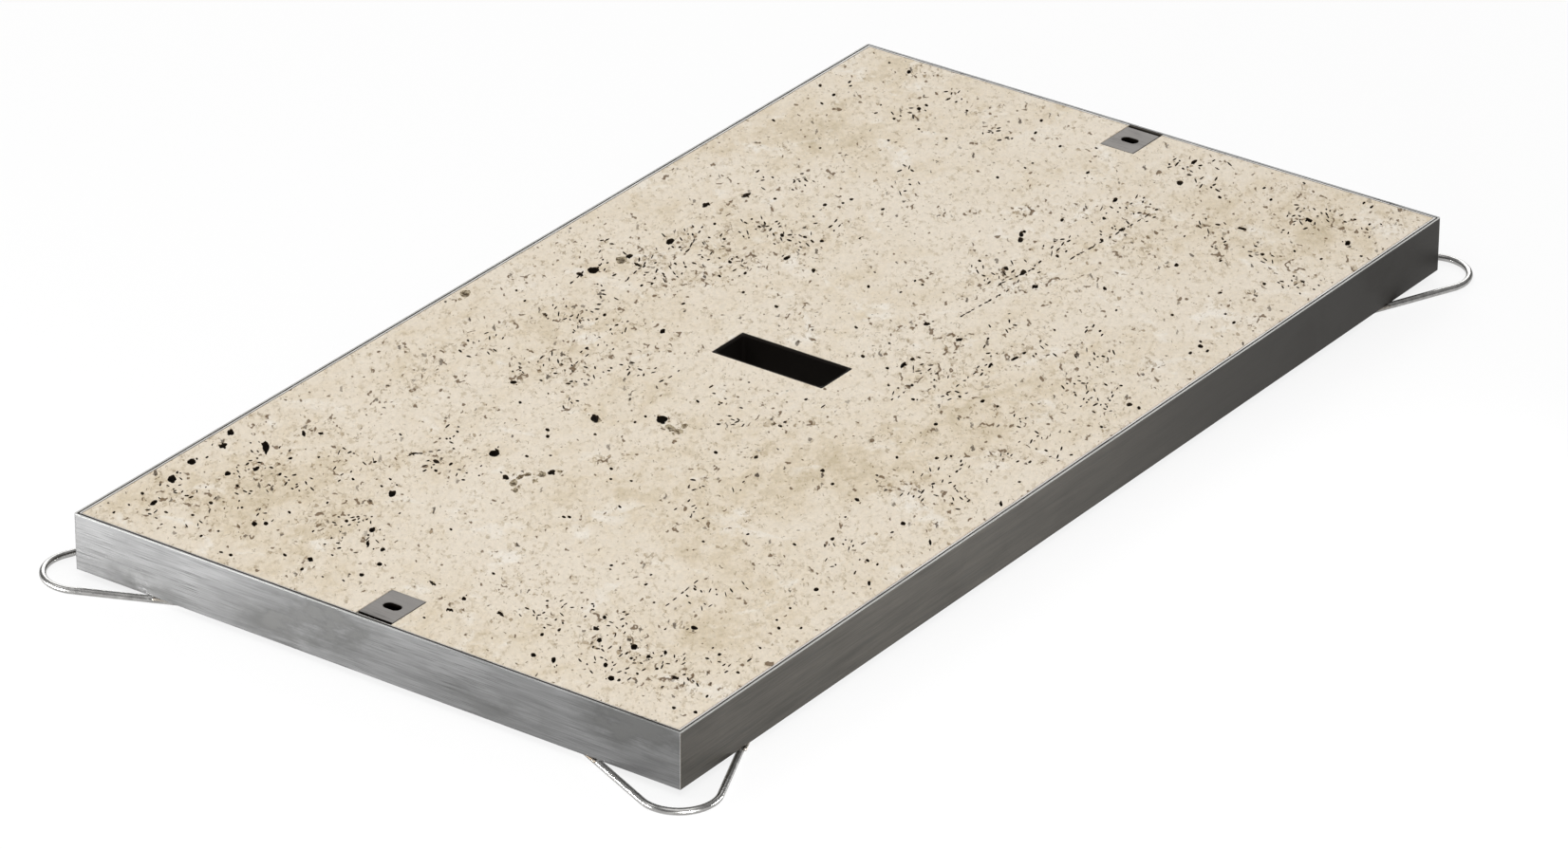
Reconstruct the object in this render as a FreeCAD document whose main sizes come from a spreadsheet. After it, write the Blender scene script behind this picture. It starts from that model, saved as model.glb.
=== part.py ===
import FreeCAD, Part
import math
import os

import Sketcher

# A cable pit cover: a welded angle frame with bar anchors, and a folded pan that lies in it on rubber
# strips and carries a stone slab. X runs along the short sides, Y along the long sides, and Z is up from
# the underside of the anchors. The origin is below the middle of the slab.

os.makedirs("parts", exist_ok=True)
doc = FreeCAD.newDocument("CablePitCover")

# Driving sizes in millimetres and degrees
SIZES = {
    # frame of sharp-edged steel angle
    "frame_length": 1100.0,
    "frame_width": 600.0,
    "frame_height": 50.0,
    "frame_wall": 2.0,
    "ledge_width": 30.0,
    "frame_root": 1.0,
    "frame_edge": 0.6,
    "frame_corner": 2.0,
    # anchor loops of round bar
    "bar_diameter": 6.0,
    "loop_spread": 76.0,
    "loop_leg_angle": 23.5,
    "loop_nose_radius": 32.5,
    "loop_weld_length": 50.0,
    # rubber strips on the ledge
    "seal_thickness": 3.0,
    "seal_width": 14.0,
    "seal_inset": 4.0,
    # folded pan
    "pan_gap": 1.0,
    "pan_wall": 1.5,
    "pan_bend": 1.0,
    "drain_diameter": 8.0,
    # flat bars on the pan floor
    "rib_thickness": 4.0,
    "rib_end_gap": 12.0,
    "rib_first": 130.0,
    "rib_pitch": 220.0,
    # stone and its bed
    "stone_thickness": 30.0,
    "stone_joint": 0.3,
    "stone_arris": 0.4,
    # cable outlet in the middle
    "outlet_length": 112.0,
    "outlet_width": 44.0,
    "outlet_corner": 1.0,
    "collar_wall": 2.0,
    "collar_corner": 3.0,
    "liner_fit": 0.25,
    "liner_wall": 2.5,
    "liner_inner_corner": 3.0,
    "liner_mouth": 1.5,
    "liner_flange": 12.0,
    "liner_flange_thickness": 2.0,
    # rivets through the liner's flange and the pan floor
    "rivet_shank": 4.0,
    "rivet_hole_room": 0.2,
    "rivet_head": 7.0,
    "rivet_head_height": 1.2,
    "rivet_edge": 5.0,
    "rivet_spacing": 80.0,
    # slotted key plates at the short sides, on box tubes
    "key_plate_length": 42.0,
    "key_plate_width": 34.0,
    "key_plate_thickness": 3.0,
    "key_gap": 3.5,
    "key_slot_length": 16.0,
    "key_slot_width": 9.5,
    "key_slot_chamfer": 0.5,
    "key_box_wall": 1.5,
    "key_box_bend": 1.5,
}


class Size:
    """A number with the sheet formula that gives it, so that sums of sizes stay bound to the sheet."""

    def __init__(self, number, formula):
        self.number = number
        self.formula = formula

    def __add__(self, other):
        return Size(self.number + number_of(other), f"({self.formula} + {formula_of(other)})")

    def __sub__(self, other):
        return Size(self.number - number_of(other), f"({self.formula} - {formula_of(other)})")

    def __mul__(self, other):
        return Size(self.number * number_of(other), f"({self.formula} * {formula_of(other)})")

    def __truediv__(self, other):
        return Size(self.number / number_of(other), f"({self.formula} / {formula_of(other)})")

    def __neg__(self):
        return self * -1


def number_of(value):
    return value.number if isinstance(value, Size) else value


def formula_of(value):
    return value.formula if isinstance(value, Size) else str(value)


def sine(angle):
    return Size(math.sin(math.radians(angle.number)), f"sin({angle.formula})")


def cosine(angle):
    return Size(math.cos(math.radians(angle.number)), f"cos({angle.formula})")


# The sheet: a name and a plain number in each row
sheet = doc.addObject("Spreadsheet::Sheet", "Sizes")
for row, (alias, number) in enumerate(SIZES.items(), 1):
    sheet.set(f"A{row}", alias)
    sheet.set(f"B{row}", str(number))
    sheet.setAlias(f"B{row}", alias)
doc.recompute()


def size(alias):
    return Size(float(sheet.get(alias)), f"Sizes.{alias}")


ZERO = Size(0.0, "0")
RIGHT_ANGLE = 90.0

# Levels, upwards from the underside of the anchors
frame_bottom = size("bar_diameter")
ledge_top = frame_bottom + size("frame_wall")
pan_bottom = ledge_top + size("seal_thickness")
pan_floor = pan_bottom + size("pan_wall")
cover_top = frame_bottom + size("frame_height")
stone_bottom = cover_top - size("stone_thickness")
key_plate_bottom = cover_top - size("key_plate_thickness")

# Half sizes in plan, from the middle outwards
frame_half_x = size("frame_width") / 2
frame_half_y = size("frame_length") / 2
pan_inset = size("frame_wall") + size("pan_gap")
pan_half_x = frame_half_x - pan_inset
pan_half_y = frame_half_y - pan_inset
fill_half_x = pan_half_x - size("pan_wall")
fill_half_y = pan_half_y - size("pan_wall")
outlet_half_x = size("outlet_length") / 2
outlet_half_y = size("outlet_width") / 2
liner_half_x = outlet_half_x - size("liner_fit")
liner_half_y = outlet_half_y - size("liner_fit")
key_plate_outer_y = fill_half_y - size("key_gap")
key_plate_inner_y = key_plate_outer_y - size("key_plate_length")
key_plate_middle_y = key_plate_outer_y - size("key_plate_length") / 2
key_half_x = size("key_plate_width") / 2

nodes = []


# Sketches and features

def new_body(label):
    body = doc.addObject("PartDesign::Body", label)
    body.Label = label
    return body


def new_sketch(body, name, plane, height=ZERO):
    """A sketch on one of the body's origin planes, lifted by height along that plane's normal."""
    sketch = body.newObject("Sketcher::SketchObject", name)
    origin_plane = [feature for feature in body.Origin.OriginFeatures if feature.Role == plane][0]
    sketch.AttachmentSupport = [(origin_plane, "")]
    sketch.MapMode = "FlatFace"
    sketch.setExpression("AttachmentOffset.Base.z", height.formula)
    return sketch


def hold(sketch, kind, edge, end, place):
    """Ties a point's X or Y distance from the sketch's origin to a size."""
    row = sketch.addConstraint(Sketcher.Constraint(kind, -1, 1, edge, end, place.number))
    sketch.setExpression(f"Constraints[{row}]", place.formula)


def draw(sketch, corners, centres=None, closed=True):
    """Edges from corner to corner. centres gives the centre of each arc, by its first corner's number."""
    centres = centres or {}
    points = [FreeCAD.Vector(x.number, y.number, 0) for x, y in corners]
    span = len(corners) if closed else len(corners) - 1
    ends = []
    for index in range(span):
        start = points[index]
        finish = points[(index + 1) % len(points)]
        if index not in centres:
            edge = sketch.addGeometry(Part.LineSegment(start, finish))
            ends.append((edge, 1, 2))
            continue
        centre = FreeCAD.Vector(centres[index][0].number, centres[index][1].number, 0)
        first = start - centre
        last = finish - centre
        turns_left = first.cross(last).z > -1e-6
        low, high = (first, last) if turns_left else (last, first)
        circle = Part.Circle(centre, FreeCAD.Vector(0, 0, 1), first.Length)
        arc = Part.ArcOfCircle(circle, math.atan2(low.y, low.x), math.atan2(high.y, high.x))
        edge = sketch.addGeometry(arc)
        ends.append((edge, 1, 2) if turns_left else (edge, 2, 1))
    for index in range(span if closed else span - 1):
        edge, _, finish_end = ends[index]
        next_edge, next_start, _ = ends[(index + 1) % len(ends)]
        sketch.addConstraint(Sketcher.Constraint("Coincident", edge, finish_end, next_edge, next_start))
    for index, (x, y) in enumerate(corners):
        edge, start_end, finish_end = ends[min(index, len(ends) - 1)]
        end = start_end if index < len(ends) else finish_end
        hold(sketch, "DistanceX", edge, end, x)
        hold(sketch, "DistanceY", edge, end, y)
    for index, (x, _) in centres.items():
        hold(sketch, "DistanceX", ends[index][0], 3, x)


def draw_rectangle(sketch, low_x, high_x, low_y, high_y):
    draw(sketch, [(low_x, low_y), (high_x, low_y), (high_x, high_y), (low_x, high_y)])


def draw_centred(sketch, half_x, half_y):
    draw_rectangle(sketch, -half_x, half_x, -half_y, half_y)


def pad(body, name, sketch, length, symmetric=False):
    feature = body.newObject("PartDesign::Pad", name)
    feature.Profile = sketch
    feature.setExpression("Length", length.formula)
    if symmetric:
        feature.SideType = "Symmetric"
    doc.recompute()
    return feature


def pocket(body, name, sketch, depth=None):
    """A cut down from the sketch by depth, or right through both ways where no depth is given."""
    before = body.Shape.Volume
    feature = body.newObject("PartDesign::Pocket", name)
    feature.Profile = sketch
    if depth is None:
        feature.Type = "ThroughAll"
        feature.SideType = "Symmetric"
    else:
        feature.setExpression("Length", depth.formula)
    doc.recompute()
    if not body.Shape.Volume < before:
        raise ValueError(f"{body.Label}: {name} cuts nothing")
    return feature


def mirror(body, name, feature, plane):
    """Repeats a cut on the other side of one of the body's origin planes."""
    before = body.Shape.Volume
    copy = body.newObject("PartDesign::Mirrored", name)
    copy.Originals = [feature]
    copy.MirrorPlane = ([item for item in body.Origin.OriginFeatures if item.Role == plane][0], [""])
    body.Tip = copy
    doc.recompute()
    if not body.Shape.Volume < before:
        raise ValueError(f"{body.Label}: {name} cuts nothing")
    return copy


def dress(body, kind, name, test, amount):
    """A fillet or chamfer on the edges of the body's last feature that the test picks out."""
    edges = [f"Edge{count}" for count, edge in enumerate(body.Shape.Edges, 1) if test(edge)]
    if not edges:
        raise ValueError(f"{body.Label}: {name} finds no edge")
    base = body.Tip
    feature = body.newObject(kind, name)
    feature.Base = (base, edges)
    feature.setExpression("Radius" if kind.endswith("Fillet") else "Size", amount.formula)
    doc.recompute()
    return feature


def fillet(body, name, test, radius):
    return dress(body, "PartDesign::Fillet", name, test, radius)


def chamfer(body, name, test, width):
    return dress(body, "PartDesign::Chamfer", name, test, width)


def near(first, second):
    return abs(first - second) < 1e-3


def is_upright(edge):
    box = edge.BoundBox
    return box.XLength < 1e-3 and box.YLength < 1e-3


def upright_at(half_x, half_y, middle_y=ZERO):
    """Picks the upright edges at the four corners of a rectangle that is centred on X."""

    def test(edge):
        box = edge.BoundBox
        at_x = near(abs(box.XMin), half_x.number)
        return is_upright(edge) and at_x and near(abs(box.YMin - middle_y.number), half_y.number)

    return test


def level_at(height, half_x=None, half_y=None):
    """Picks the level edges at a height, or only those within half_x and half_y of the middle."""

    def test(edge):
        box = edge.BoundBox
        level = near(box.ZMin, height.number) and near(box.ZMax, height.number)
        if half_x is None:
            return level
        within_x = max(abs(box.XMin), abs(box.XMax)) < half_x.number + 1e-3
        return level and within_x and max(abs(box.YMin), abs(box.YMax)) < half_y.number + 1e-3

    return test


def turn(body, angle):
    body.Placement.Rotation = FreeCAD.Rotation(FreeCAD.Vector(0, 0, 1), angle)


# Frame rails: each is drawn as the front one, with its wall towards -Y, and turned to its side

def make_rail(side, half_length, half_offset, angle):
    body = new_body(f"frame_rail_{side}")
    wall = size("frame_wall")
    face = -half_offset
    profile = new_sketch(body, f"angle_section_{side}", "YZ_Plane")
    ledge_edge = face + size("ledge_width")
    wall_inside = face + wall
    draw(profile, [(face, frame_bottom), (ledge_edge, frame_bottom), (ledge_edge, ledge_top),
                   (wall_inside, ledge_top), (wall_inside, cover_top), (face, cover_top)])
    pad(body, f"angle_{side}", profile, half_length * 2, symmetric=True)

    def is_long_edge(y, z):
        return lambda edge: edge.BoundBox.XLength > 1 and near(edge.BoundBox.YMin, y.number) \
            and near(edge.BoundBox.YMax, y.number) and near(edge.BoundBox.ZMax, z.number) \
            and near(edge.BoundBox.ZMin, z.number)

    fillet(body, f"root_{side}", is_long_edge(wall_inside, ledge_top), size("frame_root"))
    fillet(body, f"edge_{side}", is_long_edge(face, frame_bottom), size("frame_edge"))

    # The mitre runs inwards from the rounded corner at 45 degrees, and what lies beyond it is cut away
    radius = size("frame_corner")
    beyond = size("ledge_width") * 2
    arc_x = half_length - radius
    arc_y = face + radius
    diagonal = radius * cosine(Size(RIGHT_ANGLE / 2, str(RIGHT_ANGLE / 2)))
    mitre = new_sketch(body, f"mitre_outline_{side}", "XY_Plane")
    draw(mitre, [(arc_x, face), (arc_x + diagonal, arc_y - diagonal),
                 (half_length - beyond, face + beyond), (half_length + beyond, face + beyond),
                 (half_length + beyond, face - beyond), (arc_x, face - beyond)],
         centres={0: (arc_x, arc_y)})
    cut = pocket(body, f"mitre_{side}", mitre)
    mirror(body, f"mitre_far_{side}", cut, "YZ_Plane")
    turn(body, angle)
    nodes.append(body)


make_rail("front", frame_half_x, frame_half_y, 0)
make_rail("right", frame_half_y, frame_half_x, 90)
make_rail("back", frame_half_x, frame_half_y, 180)
make_rail("left", frame_half_y, frame_half_x, 270)


# Anchor loops: a hairpin that starts along +X from its weld, goes round its nose and comes back

leg_angle = size("loop_leg_angle")
nose_radius = size("loop_nose_radius")
leg_run = cosine(leg_angle)
leg_rise = sine(leg_angle)
nose_middle = (nose_radius - size("loop_spread") * leg_rise) / (leg_rise - leg_run)
free_leg = size("loop_spread") * leg_run + nose_middle * (leg_run + leg_rise)
leg_length = size("loop_weld_length") + free_leg
nose_turn = leg_angle * 2 + RIGHT_ANGLE
weld_back = size("loop_spread") + size("loop_weld_length") * leg_run
weld_in = size("loop_weld_length") * leg_rise


def make_loop(corner, side_x, side_y, angle, base_x, base_y):
    body = new_body(f"anchor_loop_{corner}")
    path = new_sketch(body, f"bar_line_{corner}", "XY_Plane")
    nose_x = leg_length + nose_radius * sine(nose_turn)
    nose_y = nose_radius * cosine(nose_turn) - nose_radius
    far_x = nose_x + leg_length * cosine(nose_turn)
    far_y = nose_y - leg_length * sine(nose_turn)
    draw(path, [(ZERO, ZERO), (leg_length, ZERO), (nose_x, nose_y), (far_x, far_y)],
         centres={1: (leg_length, -nose_radius)}, closed=False)
    section = new_sketch(body, f"bar_section_{corner}", "YZ_Plane")
    bar_radius = size("bar_diameter") / 2
    circle = Part.Circle(FreeCAD.Vector(0, 0, 0), FreeCAD.Vector(0, 0, 1), bar_radius.number)
    edge = section.addGeometry(circle)
    section.addConstraint(Sketcher.Constraint("Coincident", edge, 3, -1, 1))
    row = section.addConstraint(Sketcher.Constraint("Radius", edge, bar_radius.number))
    section.setExpression(f"Constraints[{row}]", bar_radius.formula)
    doc.recompute()
    bar = body.newObject("PartDesign::AdditivePipe", f"bar_{corner}")
    bar.Profile = section
    bar.Spine = (path, ["Edge1", "Edge2", "Edge3"])
    doc.recompute()
    expected = math.pi * bar_radius.number ** 2 * path.Shape.Length
    if abs(bar.Shape.Volume / expected - 1) > 0.001:
        raise ValueError(f"{body.Label}: the bar's volume is not its section times its length")
    body.Placement.Rotation = FreeCAD.Rotation(FreeCAD.Vector(0, 0, 1), angle + leg_angle.number)
    body.setExpression("Placement.Rotation.Angle", (leg_angle + angle).formula)
    body.setExpression("Placement.Base.x", (frame_half_x * side_x + base_x).formula)
    body.setExpression("Placement.Base.y", (frame_half_y * side_y + base_y).formula)
    body.setExpression("Placement.Base.z", bar_radius.formula)
    return body


def make_group(label, bodies):
    """Alike pieces that share one node and stay separate solids."""
    group = doc.addObject("Part::Compound", label)
    group.Label = label
    group.Links = bodies
    nodes.append(group)


make_group("anchor_loops", [make_loop("back_right", 1, 1, 0, -weld_back, -weld_in),
                            make_loop("back_left", -1, 1, 90, weld_in, -weld_back),
                            make_loop("front_left", -1, -1, 180, weld_back, weld_in),
                            make_loop("front_right", 1, -1, 270, -weld_in, weld_back)])


# Rubber strips on the ledge: the long ones run through, and the short ones lie between them

def make_seal(side, half_length, half_offset, angle):
    body = new_body(f"seal_strip_{side}")
    outer = size("frame_wall") + size("seal_inset") - half_offset
    strip = new_sketch(body, f"strip_outline_{side}", "XY_Plane", ledge_top)
    draw_rectangle(strip, -half_length, half_length, outer, outer + size("seal_width"))
    pad(body, f"strip_{side}", strip, size("seal_thickness"))
    turn(body, angle)
    nodes.append(body)


seal_edge = size("frame_wall") + size("seal_inset")
short_seal_half = frame_half_x - seal_edge - size("seal_width")
long_seal_half = frame_half_y - seal_edge
make_seal("front", short_seal_half, frame_half_y, 0)
make_seal("right", long_seal_half, frame_half_x, 90)
make_seal("back", short_seal_half, frame_half_y, 180)
make_seal("left", long_seal_half, frame_half_x, 270)


# Rivets and their places, two on each long side of the outlet

rivet_x = size("rivet_spacing") / 2
rivet_y = liner_half_y + size("liner_flange") - size("rivet_edge")
flange_bottom = pan_bottom - size("liner_flange_thickness")


def draw_circle(sketch, x, y, diameter):
    centre = FreeCAD.Vector(x.number, y.number, 0)
    edge = sketch.addGeometry(Part.Circle(centre, FreeCAD.Vector(0, 0, 1), diameter.number / 2))
    hold(sketch, "DistanceX", edge, 3, x)
    hold(sketch, "DistanceY", edge, 3, y)
    row = sketch.addConstraint(Sketcher.Constraint("Diameter", edge, diameter.number))
    sketch.setExpression(f"Constraints[{row}]", diameter.formula)


def draw_rivet_holes(sketch, diameter):
    for side_x in (-1, 1):
        for side_y in (-1, 1):
            draw_circle(sketch, rivet_x * side_x, rivet_y * side_y, diameter)


# Folded pan: bends along the floor, and sharp welded seams up the corners

pan = new_body("tray_pan")
pan_outside = new_sketch(pan, "pan_outside", "XY_Plane", pan_bottom)
draw_centred(pan_outside, pan_half_x, pan_half_y)
pad(pan, "pan_block", pan_outside, cover_top - pan_bottom)
pan_outer_bend = size("pan_bend") + size("pan_wall")
fillet(pan, "pan_outer_bends", level_at(pan_bottom), pan_outer_bend)
pan_inside = new_sketch(pan, "pan_inside", "XY_Plane", cover_top)
draw_centred(pan_inside, fill_half_x, fill_half_y)
pocket(pan, "pan_hollow", pan_inside, cover_top - pan_floor)
fillet(pan, "pan_inner_bends", level_at(pan_floor), size("pan_bend"))
pan_outlet = new_sketch(pan, "pan_outlet_outline", "XY_Plane", pan_floor)
draw_centred(pan_outlet, outlet_half_x, outlet_half_y)
pocket(pan, "pan_outlet", pan_outlet, size("pan_wall"))
pan_drain = new_sketch(pan, "pan_drain_outline", "XY_Plane", pan_floor)
draw_circle(pan_drain, ZERO, key_plate_middle_y, size("drain_diameter"))
drain = pocket(pan, "pan_drain", pan_drain, size("pan_wall"))
mirror(pan, "pan_drain_front", drain, "XZ_Plane")
rivet_hole = size("rivet_shank") + size("rivet_hole_room")
pan_rivet_holes = new_sketch(pan, "pan_rivet_outlines", "XY_Plane", pan_floor)
draw_rivet_holes(pan_rivet_holes, rivet_hole)
pocket(pan, "pan_rivet_holes", pan_rivet_holes, size("pan_wall"))
nodes.append(pan)


# Flat bars across the pan floor, as high as the bed, so that the stone lies level on them

rib_half_length = fill_half_x - size("rib_end_gap")
rib_half_thickness = size("rib_thickness") / 2
bed_thickness = stone_bottom - pan_floor
rib_places = [-(size("rib_first") + size("rib_pitch")), -size("rib_first"),
              size("rib_first"), size("rib_first") + size("rib_pitch")]
for count, place in enumerate(rib_places, 1):
    rib = new_body(f"tray_rib_{count}")
    rib_outline = new_sketch(rib, f"rib_outline_{count}", "XY_Plane", pan_floor)
    draw_rectangle(rib_outline, -rib_half_length, rib_half_length,
                   place - rib_half_thickness, place + rib_half_thickness)
    pad(rib, f"rib_{count}", rib_outline, bed_thickness)
    nodes.append(rib)


# What fills the pan has the same plan, with room left for the outlet and the key boxes

def make_fill(label, bottom, top, opening_half_x, opening_half_y, opening_corner):
    body = new_body(label)
    joint = size("stone_joint")
    outline = new_sketch(body, f"{label}_outline", "XY_Plane", bottom)
    draw_centred(outline, fill_half_x - joint, fill_half_y - joint)
    pad(body, f"{label}_block", outline, top - bottom)
    opening = new_sketch(body, f"{label}_opening_outline", "XY_Plane", top)
    draw_centred(opening, opening_half_x, opening_half_y)
    pocket(body, f"{label}_opening", opening, top - bottom)
    fillet(body, f"{label}_opening_corners", upright_at(opening_half_x, opening_half_y), opening_corner)
    notch = new_sketch(body, f"{label}_notch_outline", "XY_Plane", top)
    draw_rectangle(notch, -key_half_x - joint, key_half_x + joint,
                   key_plate_inner_y - joint, frame_half_y)
    cut = pocket(body, f"{label}_notch", notch, top - bottom)
    mirror(body, f"{label}_notch_front", cut, "XZ_Plane")
    nodes.append(body)
    return body


collar_room = size("liner_flange")
collar_half_x = outlet_half_x + collar_room + size("collar_wall")
collar_half_y = outlet_half_y + collar_room + size("collar_wall")
collar_outer_corner = size("collar_corner") + size("collar_wall")
bed = make_fill("bedding_mortar", pan_floor, stone_bottom,
                collar_half_x + size("stone_joint"), collar_half_y + size("stone_joint"), collar_outer_corner)


def is_bed_rim(edge):
    """Picks the bed's bottom edges along the pan's walls, which keep clear of its bend."""
    box = edge.BoundBox
    at_side = near(max(abs(box.XMin), abs(box.XMax)), (fill_half_x - size("stone_joint")).number)
    at_end = near(max(abs(box.YMin), abs(box.YMax)), (fill_half_y - size("stone_joint")).number)
    return level_at(pan_floor)(edge) and (at_side or at_end) and max(box.XLength, box.YLength) > 1


chamfer(bed, "bed_rim", is_bed_rim, size("pan_bend"))
rib_slot_half_x = rib_half_length + size("stone_joint")
rib_slot_half_y = rib_half_thickness + size("stone_joint")
rib_slots = new_sketch(bed, "bed_rib_outlines", "XY_Plane", stone_bottom)
for place in rib_places[2:]:
    draw_rectangle(rib_slots, -rib_slot_half_x, rib_slot_half_x,
                   place - rib_slot_half_y, place + rib_slot_half_y)
slots = pocket(bed, "bed_rib_slots", rib_slots, bed_thickness)
mirror(bed, "bed_rib_slots_front", slots, "XZ_Plane")

stone = make_fill("stone_slab", stone_bottom, cover_top, outlet_half_x, outlet_half_y, size("outlet_corner"))
chamfer(stone, "stone_arrises", level_at(cover_top), size("stone_arris"))


# Outlet: a steel ring that stands on the pan floor round the rivets and keeps the bed off them, and the
# sleeve that comes up in its middle

collar = new_body("outlet_collar")
collar_outside = new_sketch(collar, "collar_outside", "XY_Plane", pan_floor)
draw_centred(collar_outside, collar_half_x, collar_half_y)
pad(collar, "collar_block", collar_outside, bed_thickness)
fillet(collar, "collar_outer_corners", is_upright, collar_outer_corner)
collar_inside = new_sketch(collar, "collar_inside", "XY_Plane", stone_bottom)
collar_inner_x = outlet_half_x + collar_room
collar_inner_y = outlet_half_y + collar_room
draw_centred(collar_inside, collar_inner_x, collar_inner_y)
pocket(collar, "collar_hollow", collar_inside, bed_thickness)
fillet(collar, "collar_inner_corners", upright_at(collar_inner_x, collar_inner_y), size("collar_corner"))
nodes.append(collar)

liner = new_body("outlet_liner")
flange_outline = new_sketch(liner, "liner_flange_outline", "XY_Plane", flange_bottom)
flange_half_x = liner_half_x + size("liner_flange")
flange_half_y = liner_half_y + size("liner_flange")
draw_centred(flange_outline, flange_half_x, flange_half_y)
pad(liner, "liner_flange_plate", flange_outline, size("liner_flange_thickness"))
fillet(liner, "liner_flange_corners", is_upright, size("rivet_edge"))
sleeve_outline = new_sketch(liner, "liner_sleeve_outline", "XY_Plane", flange_bottom)
draw_centred(sleeve_outline, liner_half_x, liner_half_y)
pad(liner, "liner_sleeve", sleeve_outline, cover_top - flange_bottom)
fillet(liner, "liner_sleeve_corners", upright_at(liner_half_x, liner_half_y), size("outlet_corner"))
liner_inside = new_sketch(liner, "liner_inside", "XY_Plane", cover_top)
mouth_half_x = liner_half_x - size("liner_wall")
mouth_half_y = liner_half_y - size("liner_wall")
draw_centred(liner_inside, mouth_half_x, mouth_half_y)
pocket(liner, "liner_hollow", liner_inside, cover_top - flange_bottom)
fillet(liner, "liner_inner_corners", upright_at(mouth_half_x, mouth_half_y), size("liner_inner_corner"))
chamfer(liner, "liner_mouth", level_at(cover_top, mouth_half_x, mouth_half_y), size("liner_mouth"))
liner_rivet_holes = new_sketch(liner, "liner_rivet_outlines", "XY_Plane", pan_bottom)
draw_rivet_holes(liner_rivet_holes, rivet_hole)
pocket(liner, "liner_rivet_holes", liner_rivet_holes, size("liner_flange_thickness"))
nodes.append(liner)


# Rivets, turned about their own axis

def make_rivet(side_x, side_y):
    name = f"rivet_{'right' if side_x > 0 else 'left'}_{'back' if side_y > 0 else 'front'}"
    body = new_body(name)
    section = new_sketch(body, f"{name}_section", "XZ_Plane")
    head = size("rivet_head") / 2
    shank = size("rivet_shank") / 2
    height = size("rivet_head_height")
    draw(section, [(ZERO, flange_bottom - height), (head, flange_bottom - height),
                   (head, flange_bottom), (shank, flange_bottom), (shank, pan_floor), (head, pan_floor),
                   (head, pan_floor + height), (ZERO, pan_floor + height)])
    rivet = body.newObject("PartDesign::Revolution", name + "_turned")
    rivet.Profile = section
    rivet.ReferenceAxis = (section, ["V_Axis"])
    rivet.Angle = 360
    body.setExpression("Placement.Base.x", (rivet_x * side_x).formula)
    body.setExpression("Placement.Base.y", (rivet_y * side_y).formula)
    doc.recompute()
    return body


make_group("liner_rivets", [make_rivet(side_x, side_y) for side_x in (-1, 1) for side_y in (-1, 1)])


# Key plates and the box tubes that carry them, drawn for the back side and turned for the front

def make_key(side, angle):
    plate = new_body(f"key_plate_{side}")
    half_y = size("key_plate_length") / 2
    outline = new_sketch(plate, f"plate_outline_{side}", "XY_Plane", key_plate_bottom)
    draw_rectangle(outline, -key_half_x, key_half_x, key_plate_inner_y, key_plate_outer_y)
    pad(plate, f"plate_{side}", outline, size("key_plate_thickness"))
    slot = new_sketch(plate, f"slot_outline_{side}", "XY_Plane", cover_top)
    end_radius = size("key_slot_width") / 2
    straight = size("key_slot_length") / 2 - end_radius
    low = key_plate_middle_y - end_radius
    high = key_plate_middle_y + end_radius
    draw(slot, [(-straight, low), (straight, low), (straight, high), (-straight, high)],
         centres={1: (straight, key_plate_middle_y), 3: (-straight, key_plate_middle_y)})
    pocket(plate, f"slot_{side}", slot, size("key_plate_thickness"))

    def is_slot_rim(edge):
        return level_at(cover_top)(edge) and edge.BoundBox.XLength < size("key_slot_length").number \
            and abs(edge.BoundBox.Center.y - key_plate_middle_y.number) < end_radius.number + 1e-3

    chamfer(plate, f"slot_rim_{side}", is_slot_rim, size("key_slot_chamfer"))
    turn(plate, angle)

    box = new_body(f"key_box_{side}")
    outside = new_sketch(box, f"box_outside_{side}", "XY_Plane", pan_floor)
    draw_rectangle(outside, -key_half_x, key_half_x, key_plate_inner_y, key_plate_outer_y)
    pad(box, f"box_block_{side}", outside, key_plate_bottom - pan_floor)
    wall = size("key_box_wall")
    fillet(box, f"box_outer_bends_{side}", is_upright, size("key_box_bend") + wall)
    inside = new_sketch(box, f"box_inside_{side}", "XY_Plane", key_plate_bottom)
    draw_rectangle(inside, wall - key_half_x, key_half_x - wall,
                   key_plate_inner_y + wall, key_plate_outer_y - wall)
    pocket(box, f"box_hollow_{side}", inside, key_plate_bottom - pan_floor)
    inner_edges = upright_at(key_half_x - wall, half_y - wall, key_plate_middle_y)
    fillet(box, f"box_inner_bends_{side}", inner_edges, size("key_box_bend"))
    turn(box, angle)
    nodes.extend([plate, box])


make_key("back", 0)
make_key("front", 180)


# Every object has to be sound before a file is written

doc.recompute()
for item in doc.Objects:
    if "Invalid" in item.State or "Error" in item.State:
        raise ValueError(f"{item.Name} failed: {item.State}")
for node in nodes:
    if node.Shape.isNull() or not node.Shape.isValid() or not node.Shape.Solids:
        raise ValueError(f"{node.Label} is not a valid solid")
    if any(solid.Volume <= 0 for solid in node.Shape.Solids):
        raise ValueError(f"{node.Label} has a solid with no volume")
for node in nodes:
    node.Shape.exportStep(f"parts/{node.Label}.step")
    print(node.Label, len(node.Shape.Solids), round(node.Shape.Volume))
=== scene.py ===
import math
import random

import bpy
from mathutils import Matrix, Vector


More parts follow.
